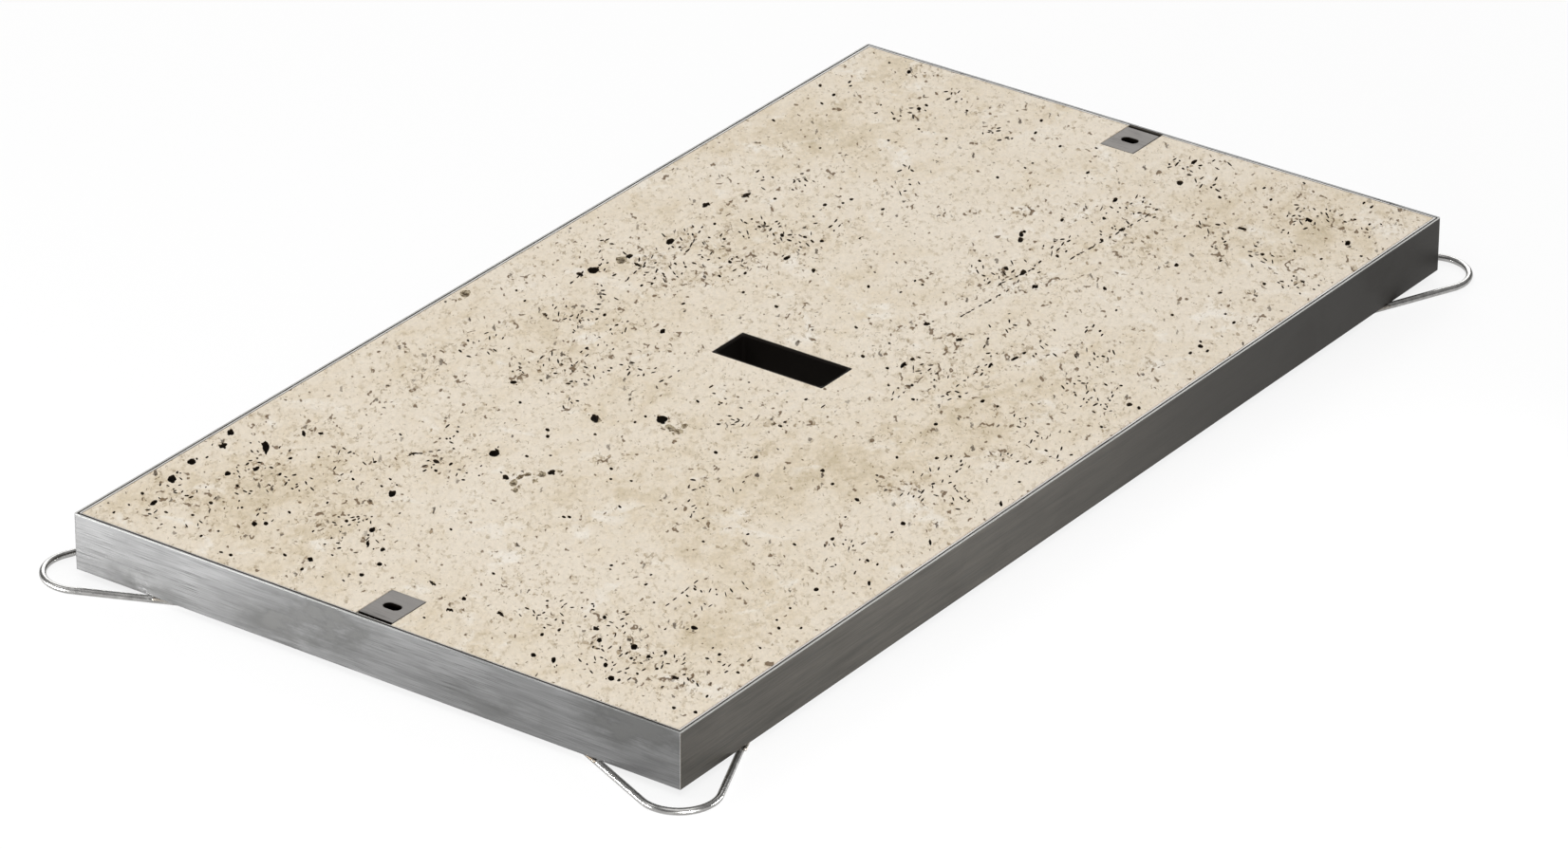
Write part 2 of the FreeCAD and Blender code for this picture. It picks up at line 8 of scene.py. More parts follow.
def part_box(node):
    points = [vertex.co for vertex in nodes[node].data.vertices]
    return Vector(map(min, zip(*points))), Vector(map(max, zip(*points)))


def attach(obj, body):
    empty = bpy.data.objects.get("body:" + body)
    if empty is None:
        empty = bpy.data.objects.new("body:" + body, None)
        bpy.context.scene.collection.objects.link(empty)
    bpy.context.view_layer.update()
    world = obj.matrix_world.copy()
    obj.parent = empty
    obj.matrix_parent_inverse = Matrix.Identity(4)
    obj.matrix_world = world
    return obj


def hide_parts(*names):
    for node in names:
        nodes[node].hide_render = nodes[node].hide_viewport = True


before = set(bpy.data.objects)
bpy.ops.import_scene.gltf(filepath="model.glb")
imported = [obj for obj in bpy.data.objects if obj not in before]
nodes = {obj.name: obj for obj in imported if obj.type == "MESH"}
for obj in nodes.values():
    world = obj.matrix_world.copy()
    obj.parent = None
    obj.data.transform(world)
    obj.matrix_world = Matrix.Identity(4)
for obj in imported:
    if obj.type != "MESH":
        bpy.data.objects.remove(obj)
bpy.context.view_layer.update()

scene = bpy.context.scene
scene.view_settings.view_transform = "Standard"
slabLow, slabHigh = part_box("stone_slab")
coverTop = slabHigh.z
quarter = math.radians(90)

# camera, at the angle of the photograph
cameraSet = {
    "place": (3.4680, -4.8485, 3.1122),
    "around": 35.556,  # degrees, from the front towards the right
    "above": 27.599,
    "roll": 0.228,
    "lens": 186.06,
    "sensor": 36.0,
    "farthest": 60,
    "picture": (1652, 895),
}


def cameraAxes():
    around, above, roll = [math.radians(cameraSet[angle]) for angle in ("around", "above", "roll")]
    level = math.cos(above)
    back = Vector((math.sin(around) * level, -math.cos(around) * level, math.sin(above)))
    right = (-back).cross(Vector((0, 0, 1))).normalized()
    up = right.cross(-back)
    side = right * math.cos(roll) + up * math.sin(roll)
    rise = -right * math.sin(roll) + up * math.cos(roll)
    return side, rise, back


def addCamera():
    side, rise, back = cameraAxes()
    data = bpy.data.cameras.new("camera")
    data.lens = cameraSet["lens"]
    data.sensor_width = cameraSet["sensor"]
    data.clip_end = cameraSet["farthest"]
    camera = bpy.data.objects.new("camera", data)
    turn = Matrix((side, rise, back)).transposed().to_4x4()
    camera.matrix_world = Matrix.Translation(cameraSet["place"]) @ turn
    scene.collection.objects.link(camera)
    scene.camera = camera


def slabPoint(x, y):
    # where a spot of the photograph lies on the cover's top
    side, rise, back = cameraAxes()
    width, tall = cameraSet["picture"]
    reach = cameraSet["lens"] / cameraSet["sensor"] * width
    ray = side * (x - width / 2) + rise * (tall / 2 - y) - back * reach
    start = Vector(cameraSet["place"])
    return start + ray * ((coverTop - start.z) / ray.z)


addCamera()
print("camera placed")


# helpers for shader nodes: each gives the new node's outputs, or the one that is used
def fill(node, inputs):
    for name, value in inputs.items():
        if isinstance(value, bpy.types.NodeSocket):
            node.id_data.links.new(value, node.inputs[name])
        else:
            node.inputs[name].default_value = value
    return node.outputs


def addNode(kind, inputs, tree=None, **settings):
    # a node goes into the tree that its inputs come from
    if tree is None:
        tree = [value for value in inputs.values() if isinstance(value, bpy.types.NodeSocket)][0].id_data
    node = tree.nodes.new("ShaderNode" + kind)
    for name, value in settings.items():
        setattr(node, name, value)
    return fill(node, inputs)


def placeGroup(group, inputs):
    return addNode("Group", inputs, node_tree=group)


def calc(what, first, second=0.0, third=0.0):
    return addNode("Math", {0: first, 1: second, 2: third}, operation=what)[0]


def times(first, second):
    return calc("MULTIPLY", first, second)


def timesPlus(first, second, third):
    return calc("MULTIPLY_ADD", first, second, third)


def larger(first, second):
    return calc("MAXIMUM", first, second)


def vectorCalc(what, first, second):
    return addNode("VectorMath", {0: first, 1: second}, operation=what)[0]


def scaled(vector, factor):
    return addNode("VectorMath", {0: vector, "Scale": factor}, operation="SCALE")[0]


def ranged(value, low, high, outLow=0.0, outHigh=1.0):
    return addNode("MapRange", {
        "Value": value, "From Min": low, "From Max": high, "To Min": outLow, "To Max": outHigh})[0]


def blend(share, first, second, how="MIX"):
    return addNode("Mix", {0: share, 6: first, 7: second}, data_type="RGBA", blend_type=how)[2]


def placed(vector, scale=(1, 1, 1), turn=(0, 0, 0), shift=(0, 0, 0)):
    return addNode("Mapping", {"Vector": vector, "Scale": scale, "Rotation": turn, "Location": shift})[0]


def noise(vector, scale, detail=2.0, roughness=0.5, distortion=0.0):
    return addNode("TexNoise", {
        "Vector": vector, "Scale": scale, "Detail": detail, "Roughness": roughness,
        "Distortion": distortion})


def cloudy(vector, look):
    stretch, shift, scale, detail, roughness, spread = look
    clouds = noise(placed(vector, stretch, shift=shift), scale, detail, roughness)
    return ranged(clouds["Fac"], *spread)


def softBall(vector, middle, reach, turn=0.0):
    # 1 in the middle, and 0 from its reach on
    place = addNode("Mapping", {
        "Vector": vector, "Location": middle, "Rotation": (0, 0, math.radians(turn)), "Scale": reach},
        vector_type="TEXTURE")
    return addNode("TexGradient", {0: place[0]}, gradient_type="SPHERICAL")["Fac"]


def objectSpace(node):
    return addNode("TexCoord", {}, node.id_data)["Object"]


def axes(vector):
    return addNode("SeparateXYZ", {0: vector})


def colour(red, green, blue):
    # a colour as it is read on a screen, 0 to 255
    def straight(value):
        value = value / 255
        return value / 12.92 if value <= 0.04045 else ((value + 0.055) / 1.055) ** 2.4
    return (straight(red), straight(green), straight(blue), 1.0)


def freshMaterial(name, roughness, metallic=0.0, specular=0.5):
    material = bpy.data.materials.new(name)
    material.use_nodes = True
    shader = material.node_tree.nodes["Principled BSDF"]
    fill(shader, {"Roughness": roughness, "Metallic": metallic, "Specular IOR Level": specular})
    return material, shader


def feed(material, shader, tone, rough, height, relief):
    bump = addNode("Bump", {"Height": height, "Strength": 1.0, "Distance": relief})
    fill(shader, {"Base Color": tone, "Normal": bump[0]})
    if rough is not None:
        fill(shader, {"Roughness": rough})
    return material


def newGroup(name, inputs, outputs):
    # a vector and numbers come in, and numbers come out
    group = bpy.data.node_groups.new(name, "ShaderNodeTree")
    sockets = group.interface
    sockets.new_socket("Vector", in_out="INPUT", socket_type="NodeSocketVector")
    for direction, labels in (("INPUT", inputs), ("OUTPUT", outputs)):
        for label in labels:
            sockets.new_socket(label, in_out=direction, socket_type="NodeSocketFloat")
    start = group.nodes.new("NodeGroupInput")
    return group, start.outputs, group.nodes.new("NodeGroupOutput")


# shared effects
def makeBrushedLines():
    # fine lines along X of the vector that comes in
    group, start, end = newGroup("brushedLines", ("Line Width", "Line Length"), ("Lines", "Patches"))
    across = calc("DIVIDE", 1.0, start["Line Width"])
    along = calc("DIVIDE", 1.0, start["Line Length"])
    stretch = addNode("CombineXYZ", {0: along, 1: across, 2: across})
    lines = vectorCalc("MULTIPLY", start["Vector"], stretch[0])
    wide = vectorCalc("MULTIPLY", lines, (0.35, 0.12, 0.12))  # patches are broader than lines
    fill(end, {"Lines": noise(lines, 1.0, 3.0, 0.6)["Fac"], "Patches": noise(wide, 1.0, 2.0, 0.5)["Fac"]})
    return group


def makeDustFilm():
    # where hands, dust and water leave their marks, 0 to 1
    group, start, end = newGroup("dustFilm", ("Size",), ("Film", "Spots"))
    scale = calc("DIVIDE", 1.0, start["Size"])
    film = noise(start["Vector"], scale, 4.0, 0.6, 0.6)
    fine = times(scale, 9.0)  # the spots are that much finer
    spots = addNode("TexVoronoi", {"Vector": start["Vector"], "Scale": fine})
    fill(end, {"Film": ranged(film["Fac"], 0.42, 0.7), "Spots": ranged(spots["Distance"], 0.18, 0.05)})
    return group


brushedLines = makeBrushedLines()
dustFilm = makeDustFilm()


# stone
stoneLook = {
    "light": colour(224, 212, 193),
    "mid": colour(216, 201, 176),
    "tan": colour(194, 177, 145),
    "white": colour(237, 231, 221),
    "speck": colour(56, 41, 26),
    "line": colour(104, 80, 52),
    "grit": colour(140, 117, 80),
    "fleck": colour(180, 161, 128),
    "midFrom": (0.05, 0.5),  # the tones' strength from where to where they show
    "tanFrom": (0.4, 1.15),
    "toneShare": 0.5,  # of the strengths in toneSpots
    "fullCrowd": 100,  # so many marks in pitCrowds count as 1
    "pointsPerMm": (1.27, 0.59),  # of the photograph, across and up and down
    "bedding": -35.5,  # degrees: the marks run this way off the slab's length
    "stretch": (1.0, 0.55, 1.0),
    "wander": (9.0, 4.0, 0.6, 0.16),  # what bends the tones: scale, detail, roughness, reach in m
    "gritty": (300.0, 2.0, 0.6, 0.006),  # the same for the specks' outlines
    "flecks": (210.0, 3.0, 0.65),
    "fleckFrom": (0.54, 0.68),
    "crowdFlecks": 0.07,  # how much more of them a crowd has
    "grain": (420.0, 3.0, 0.7),
    "grainFrom": (0.3, 0.7, 0.92, 1.08),
    "grainHeight": 0.12,
    "fineDepth": 0.4,
    "relief": 0.0005,
    "roughness": 0.52,
    "hollowRoughness": 0.8,
    "specular": 0.22,
}
# clouds of noise: stretch, shift, scale, detail, roughness, and from what range to what range
stoneClouds = {
    "soft": ((1.2, 0.7, 1.0), (0, 0, 0), 15.0, 6.0, 0.66, (0.34, 0.72, -0.02, 0.5)),
    "mottle": ((1.2, 0.65, 1.0), (0.8, 3.3, 0), 46.0, 5.0, 0.7, (0.38, 0.62, 0.55, 1.4)),
    "layers": ((2.6, 0.4, 1.0), (1.1, 0.6, 0), 16.0, 5.0, 0.6, (0.38, 0.62, 0.55, 1.45)),
    "pale": ((1, 1, 1), (3.1, 1.7, 0), 26.0, 3.0, 0.5, (0.58, 0.72, 0.0, 0.6)),
    "patchy": ((1.4, 0.9, 1.0), (0.3, 0.9, 0), 14.0, 4.0, 0.65, (0.46, 0.70, 0.0, 0.5)),
    "gaps": ((1.0, 0.6, 1.0), (2.0, 4.0, 0), 40.0, 3.0, 0.6, (0.42, 0.60, 0.08, 1.5)),
}
# specks: stretch, shift, scale, share in a crowd and anywhere, smallest and largest
stoneDots = {
    "dots": ((1, 1, 1), (0, 0, 0), 140.0, 0.11, 0.004, 0.08, 0.27),
    "dashes": ((1.0, 0.45, 1.0), (0.7, 0.2, 0), 190.0, 0.16, 0.004, 0.10, 0.28),
    "fine": ((1.0, 0.9, 1.0), (0.2, 0.6, 0), 280.0, 0.18, 0.006, 0.14, 0.45),
}
# cracks: shift, scale, width, share in a crowd and anywhere
stoneLines = {
    "cracks": ((0, 0, 0), 66.0, 0.034, 1.15, 0.08),
    "hairs": ((1.7, 0.4, 0), 115.0, 0.034, 1.3, 0.2),
}
# what lies over the tones, from below: marks, strength, colour
stoneCoats = [
    ("flecks", 0.65, "fleck"), ("hairs", 0.6, "grit"), ("fine", 0.8, "grit"), ("cracks", 0.85, "line"),
    ("specks", 0.95, "speck"),
]
# broad tones: x, y in the photograph, reach in mm along X and Y, turn in degrees,
# and how tan (above 0) or pale (below 0)
toneSpots = [
    (285, 535, 120, 90, 0, 0.75), (165, 508, 60, 60, 0, 0.5), (585, 350, 70, 130, 0, 0.5),
    (925, 480, 90, 340, -17, 1.0), (770, 640, 70, 140, 0, 0.65), (940, 85, 120, 70, 0, 0.85),
    (880, 150, 140, 90, 0, 0.65), (1320, 230, 110, 130, 0, 0.7), (1440, 228, 70, 80, 0, 0.5),
    (800, 250, 80, 80, 0, 0.4), (670, 720, 90, 50, 0, 0.35), (540, 400, 50, 50, 0, 0.45),
    (580, 590, 110, 100, 0, -0.6), (1000, 235, 100, 120, 0, -0.5), (1200, 320, 70, 100, 0, -0.45),
    (860, 450, 70, 70, 0, -0.35), (480, 540, 80, 80, 0, -0.35), (1130, 150, 60, 60, 0, -0.3),
]
# where pits and specks crowd: x, y, spread across, spread up and down, how many, lean in degrees
pitCrowds = [
    (290, 490, 90, 26, 44, 35), (220, 530, 70, 24, 30, 30), (360, 560, 60, 28, 24, 20),
    (560, 400, 90, 40, 26, -40), (610, 350, 60, 30, 34, 40), (700, 275, 80, 26, 46, 35),
    (760, 250, 70, 26, 24, -45), (840, 250, 80, 26, 24, -35), (660, 690, 60, 26, 44, -40),
    (580, 650, 50, 20, 20, -30), (1000, 390, 80, 34, 30, 35), (1180, 230, 90, 34, 34, 40),
    (1060, 290, 30, 10, 26, 50), (980, 510, 70, 26, 26, 50), (780, 430, 60, 20, 14, 20),
    (980, 120, 70, 24, 18, -30), (1330, 260, 80, 30, 26, -30), (720, 700, 60, 26, 20, 30),
    (1130, 420, 70, 30, 30, -40), (1150, 360, 60, 24, 16, 35), (1400, 230, 70, 24, 26, -25),
    (1250, 185, 50, 18, 22, 30), (820, 190, 50, 20, 10, -20), (760, 620, 60, 26, 16, -50),
    (470, 480, 60, 24, 12, 20), (880, 590, 60, 24, 14, 55), (720, 500, 70, 24, 10, 30),
    (640, 400, 60, 24, 14, 20), (930, 190, 60, 20, 8, -20), (1090, 480, 50, 20, 12, 40),
]
# broken seams: from x, y to x, y, and how many short hollows
pitSeams = [
    (1008, 336, 1062, 306, 10), (1052, 300, 1092, 282, 8), (1124, 275, 1186, 241, 9),
    (1186, 241, 1220, 220, 4), (990, 420, 1040, 384, 6), (722, 268, 742, 236, 5), (655, 300, 690, 268, 6),
    (430, 480, 466, 474, 4), (600, 300, 615, 286, 3), (700, 640, 735, 612, 5),
]


def spotMask(vector, x, y, reachX, reachY, turn=0.0):
    # 1 at a spot of the photograph, and 0 from its reach (mm) on
    middle = slabPoint(x, y)
    return softBall(vector, (middle.x, middle.y, 0), (reachX / 1000, reachY / 1000, 1), turn)


def makeStoneSpecks():
    # crisp specks, one in a cell at most
    group, start, end = newGroup("stoneSpecks", ("Scale", "Share", "Small", "Large"), ("Mask",))
    spread = {"Vector": start["Vector"], "Scale": start["Scale"]}
    cells = addNode("TexVoronoi", spread, voronoi_dimensions="2D")
    draws = addNode("SeparateColor", {0: cells["Color"]})
    kept = calc("LESS_THAN", draws[0], start["Share"])
    size = ranged(draws[1], 0.0, 1.0, start["Small"], start["Large"])
    inside = ranged(calc("SUBTRACT", size, cells["Distance"]), -0.02, 0.05)
    depth = times(kept, ranged(draws[2], 0.0, 1.0, 0.45, 1.0))
    fill(end, {"Mask": times(inside, depth)})
    return group


def makeStoneCracks():
    # thin wandering lines, broken into short pieces
    group, start, end = newGroup("stoneCracks", ("Scale", "Width", "Share"), ("Mask",))
    path = noise(start["Vector"], start["Scale"], 2.0, 0.55)
    away = calc("ABSOLUTE", calc("SUBTRACT", path["Fac"], 0.5))
    inside = ranged(calc("SUBTRACT", start["Width"], away), 0.0, 0.012)
    bits = noise(placed(start["Vector"], shift=(5.1, 2.3, 0)), times(start["Scale"], 2.4), 1.0, 0.5)
    limit = timesPlus(start["Share"], -0.17, 0.69)
    over = ranged(calc("SUBTRACT", bits["Fac"], limit), 0.0, 0.03)
    fill(end, {"Mask": times(inside, over)})
    return group


stoneSpecks = makeStoneSpecks()
stoneCracks = makeStoneCracks()


def makeStoneTop():
    look = stoneLook
    material, shader = freshMaterial("travertine", look["roughness"], specular=look["specular"])
    spot = objectSpace(shader)
    turned = placed(spot, turn=(0, 0, math.radians(look["bedding"])))
    *wander, reach = look["wander"]
    pull = vectorCalc("SUBTRACT", noise(spot, *wander)["Color"], (0.5, 0.5, 0.5))
    bent = vectorCalc("ADD", spot, scaled(pull, reach))
    # broad tones, soft clouds and layers along the slab
    tone = cloudy(bent, stoneClouds["soft"])
    for *place, strength in toneSpots:
        tone = timesPlus(spotMask(bent, *place), strength * look["toneShare"], tone)
    tone = times(tone, cloudy(turned, stoneClouds["mottle"]))
    tone = times(tone, cloudy(bent, stoneClouds["layers"]))
    base = blend(ranged(tone, *look["midFrom"]), look["light"], look["mid"])
    base = blend(ranged(tone, *look["tanFrom"]), base, look["tan"])
    base = blend(cloudy(bent, stoneClouds["pale"]), base, look["white"])
    # how thick the specks lie
    crowd = cloudy(bent, stoneClouds["patchy"])
    perAcross, perUp = look["pointsPerMm"]
    for x, y, across, upDown, many, lean in pitCrowds:
        reach = across / perAcross + upDown / perUp
        crowd = timesPlus(spotMask(bent, x, y, reach, reach), many / look["fullCrowd"], crowd)
    crowd = times(crowd, cloudy(turned, stoneClouds["gaps"]))
    # specks, cracks and flecks
    long = placed(turned, look["stretch"])
    *grit, reach = look["gritty"]
    gritty = vectorCalc("ADD", long, scaled(noise(long, *grit)["Color"], reach))
    marks = {}
    for name, (stretch, shift, scale, inCrowd, anywhere, small, large) in stoneDots.items():
        marks[name] = placeGroup(stoneSpecks, {
            "Vector": placed(gritty, stretch, shift=shift), "Scale": scale,
            "Share": timesPlus(crowd, inCrowd, anywhere), "Small": small, "Large": large})["Mask"]
    for name, (shift, scale, width, inCrowd, anywhere) in stoneLines.items():
        marks[name] = placeGroup(stoneCracks, {
            "Vector": placed(long, shift=shift), "Scale": scale, "Width": width,
            "Share": timesPlus(crowd, inCrowd, anywhere)})["Mask"]
    flecks = noise(placed(gritty, shift=(1.3, 2.2, 0)), *look["flecks"])
    thick = timesPlus(crowd, look["crowdFlecks"], flecks["Fac"])
    marks["flecks"] = ranged(thick, *look["fleckFrom"])
    marks["specks"] = larger(marks["dots"], marks["dashes"])
    for name, strength, tint in stoneCoats:
        base = blend(times(marks[name], strength), base, look[tint])
    # the crystal grain
    grain = noise(long, *look["grain"])["Fac"]
    shade = ranged(grain, *look["grainFrom"])
    grey = addNode("CombineColor", {0: shade, 1: shade, 2: shade})
    base = blend(1.0, base, grey[0], "MULTIPLY")
    low = timesPlus(marks["fine"], look["fineDepth"], larger(marks["specks"], marks["cracks"]))
    height = timesPlus(low, -1.0, times(grain, look["grainHeight"]))
    rough = ranged(low, 0.0, 1.0, look["roughness"], look["hollowRoughness"])
    return feed(material, shader, base, rough, height, look["relief"])


pitLook = {
    "shade": colour(78, 64, 47),
    "crust": colour(104, 88, 66),
    "crustShare": (0.48, 0.60),
    "shadedWall": colour(46, 37, 27),
    "shadedDeep": colour(27, 22, 17),
    "shadedWallDepth": (0.0001, 0.0009),  # metres, from where to where the painted shade on the wall deepens
    "shadedDeepDepth": (0.0008, 0.0022),
}
hollowLook = {
    "shade": colour(120, 102, 77),
    "crust": colour(198, 184, 157),
    "crustShare": (0.42, 0.54),
    "shadedWall": colour(62, 50, 37),
    "shadedDeep": colour(30, 24, 18),
    "shadedWallDepth": (0.0006, 0.0015),
    "shadedDeepDepth": (0.0014, 0.0030),
}
crumbSet = {
    "grain": (330.0, 3.0, 0.7),
    "relief": 0.0012,
    "ragged": 0.0008,  # metres up and down, by which the painted shade's edge is ragged
}


def makePitWall(name, look):
    material, shader = freshMaterial(name, 0.9, specular=0.1)
    spot = objectSpace(shader)
    depth = calc("SUBTRACT", coverTop, axes(spot)[2])
    crumbs = noise(spot, *crumbSet["grain"])["Fac"]
    base = blend(ranged(crumbs, *look["crustShare"]), look["shade"], look["crust"])
    ragged = crumbSet["ragged"]
    uneven = timesPlus(crumbs, -2 * ragged, calc("ADD", depth, ragged))
    # painted shade: the pits' walls and floors get darker with depth
    for tone in ("shadedWall", "shadedDeep"):
        base = blend(ranged(uneven, *look[tone + "Depth"]), base, look[tone])
    return feed(material, shader, base, None, crumbs, crumbSet["relief"])


# painted shade and highlights on the steel, and darker patches, in metres
steelPatchesAndPaintedLight = {
    "panFront": -0.5462,  # the outer half of the pan's top edge lies in front of this
    "panEdge": 0.001,  # as high as the painted shade on that edge reaches
    "plateHalf": 0.0172,  # half of a key plate's width
    "plateBack": 0.5453,  # the gap behind the back key plate lies behind this
    "gapDepth": 0.0004,  # in the gap round a key plate, painted shade starts so deep
    "ragged": ((1, 1, 2.5), (0, 0, 0), 28.0, 4.0, 0.65, (0.38, 0.6, 0.25, 1.3)),
    "darkPatchGain": 1.6,
    "frontEdge": -0.5488,  # the rims with a painted highlight lie outside these
    "sideEdge": 0.2986,
    "rimFrom": 0.0006,  # how far below the top they start, and are full
    "rimFull": 0.0002,
    "frontFade": (0.12, -0.12, 0.1, 1.0),  # from the right to the left
    "sideMost": 0.6,
    # the colour of the painted highlight on the rails' rims
    "rimHighlight": colour(146, 146, 144),
    "farEndShade": (-0.30, 0.42),  # the long rails get a painted shade between these, darker towards the back
}
# dull spots on the front and back rails: x and height in m, reach along and up, and how dull
darkPatches = [
    (-0.045, 0.040, 0.075, 0.035, 0.9), (-0.100, 0.020, 0.060, 0.025, 0.5),
    (0.255, 0.046, 0.070, 0.030, 0.9), (0.120, 0.020, 0.080, 0.025, 0.4),
    (-0.230, 0.012, 0.070, 0.020, 0.5),
]


def jointShade(spot):
    # painted shade on the outer half of the pan's top edge at the front, and in the gap behind the back key
    # plate
    x, y, z = axes(spot)
    atFront = calc("LESS_THAN", y, steelPatchesAndPaintedLight["panFront"])
    high = calc("GREATER_THAN", z, coverTop - steelPatchesAndPaintedLight["panEdge"])
    atPlate = calc("LESS_THAN", calc("ABSOLUTE", x), steelPatchesAndPaintedLight["plateHalf"])
    atBack = calc("GREATER_THAN", y, steelPatchesAndPaintedLight["plateBack"])
    return larger(times(atFront, high), times(atPlate, atBack))


def wallDarkPatches(spot):
    # darker, rougher ragged patches on the front and back rails
    ragged = cloudy(spot, steelPatchesAndPaintedLight["ragged"])
    whole = 0.0
    for x, z, along, up, strength in darkPatches:
        ball = softBall(spot, (x, 0, z), (along, 100, up))
        whole = timesPlus(ball, strength * steelPatchesAndPaintedLight["darkPatchGain"], whole)
    return calc("MINIMUM", times(whole, ragged), 1.0)


def topEdge(z, most=1.0):
    return ranged(z, coverTop - steelPatchesAndPaintedLight["rimFrom"], coverTop - steelPatchesAndPaintedLight["rimFull"], 0.0, most)


def frontRimHighlight(spot):
    # a painted highlight on the front rail's top outer edge, most at the left
    x, y, z = axes(spot)
    outer = calc("LESS_THAN", y, steelPatchesAndPaintedLight["frontEdge"])
    return times(times(outer, topEdge(z)), ranged(x, *steelPatchesAndPaintedLight["frontFade"]))


def sideRimHighlight(spot):
    # a weaker painted highlight on the long rails' top outer edges
    x, y, z = axes(spot)
    outer = calc("GREATER_THAN", calc("ABSOLUTE", x), steelPatchesAndPaintedLight["sideEdge"])
    return times(outer, topEdge(z, steelPatchesAndPaintedLight["sideMost"]))


def farEndShade(spot):
    # painted shade: the long rails get darker, and a little rougher, towards the back
    return ranged(axes(spot)[1], *steelPatchesAndPaintedLight["farEndShade"])


def belowTop(spot):
    # painted shade down in the narrow gap round a key plate
    return calc("LESS_THAN", axes(spot)[2], coverTop - steelPatchesAndPaintedLight["gapDepth"])


# what all brushed steel shares
brushSet = {
    "linesShare": 0.65,  # of the tone, the rest is patches
    "patchesShare": 0.35,
    "toneFrom": (0.38, 0.62),
    "dash": colour(64, 64, 63),
    "dashFrom": (0.44, 0.37),
    "dashFilm": (0.1, 0.8, 0.0, 0.8),
    "filmSize": 0.06,
    "filmRoughness": 0.06,
    "lineRoughness": 0.08,
}


def makeBrushedSteel(name, light, dark, roughness, lines, alongY=False, dashed=True, darkLayer=None, rimHighlight=None):
    # lines have a width, length and relief; the darker layer has a place, tone and roughness, and paints
    # shade in gaps and towards the long rails' back end, and darker patches on the front and back rails
    look = brushSet
    lineWidth, lineLength, relief = lines
    material, shader = freshMaterial(name, roughness, 1.0)
    spot = objectSpace(shader)
    brushed = placeGroup(brushedLines, {
        "Vector": placed(spot, turn=(0, 0, quarter if alongY else 0)),
        "Line Width": lineWidth, "Line Length": lineLength})
    film = placeGroup(dustFilm, {"Vector": spot, "Size": look["filmSize"]})["Film"]
    patches = times(brushed["Patches"], look["patchesShare"])
    tone = timesPlus(brushed["Lines"], look["linesShare"], patches)
    base = blend(ranged(tone, *look["toneFrom"]), dark, light)
    if dashed:
        dashes = times(ranged(brushed["Lines"], *look["dashFrom"]), ranged(film, *look["dashFilm"]))
        base = blend(dashes, base, look["dash"])
    rough = timesPlus(film, look["filmRoughness"], roughness)
    rough = timesPlus(brushed["Lines"], look["lineRoughness"],
                      calc("SUBTRACT", rough, look["lineRoughness"] / 2))
    if darkLayer is not None:
        where, darkTone, dull = darkLayer
        darkShare = where(spot)
        base = blend(darkShare, base, darkTone)
        rough = larger(rough, times(darkShare, dull))
    # a painted highlight along a rail's rim
    if rimHighlight is not None:
        base = blend(rimHighlight(spot), base, steelPatchesAndPaintedLight["rimHighlight"])
    return feed(material, shader, base, rough, brushed["Lines"], relief)


def makePlain(name, clean, dusty, size, shows, rough, grain, relief, metallic=0.0, specular=0.5):
    # dust in clouds of a size; with no scale for the grain, the dust's spots are the grain
    material, shader = freshMaterial(name, rough[0], metallic, specular)
    spot = objectSpace(shader)
    dust = placeGroup(dustFilm, {"Vector": spot, "Size": size})
    height = dust["Spots"] if grain is None else noise(spot, grain)["Fac"]
    base = blend(dust[shows], clean, dusty)
    return feed(material, shader, base, ranged(dust["Film"], 0.0, 1.0, *rough), height, relief)


mortarLook = {
    "cement": (colour(150, 146, 138), colour(172, 168, 158)),
    "patches": ((1, 1, 1), (0, 0, 0), 30.0, 4.0, 0.5, (0.35, 0.65)),
    "sand": colour(120, 112, 100),
    "sandScale": 500.0,
    "sandFrom": (0.35, 0.15, 0.0, 0.5),
    "relief": 0.0006,
}


def makeMortar():
    look = mortarLook
    material, shader = freshMaterial("beddingMortar", 0.9)
    spot = objectSpace(shader)
    sand = addNode("TexVoronoi", {"Vector": spot, "Scale": look["sandScale"]})["Distance"]
    base = blend(cloudy(spot, look["patches"]), *look["cement"])
    base = blend(ranged(sand, *look["sandFrom"]), base, look["sand"])
    return feed(material, shader, base, None, sand, look["relief"])


railLines = (0.0007, 0.035, 0.00003)
panTones = (colour(172, 170, 167), colour(148, 146, 143))
keyTones = (colour(130, 127, 124), colour(121, 118, 115))
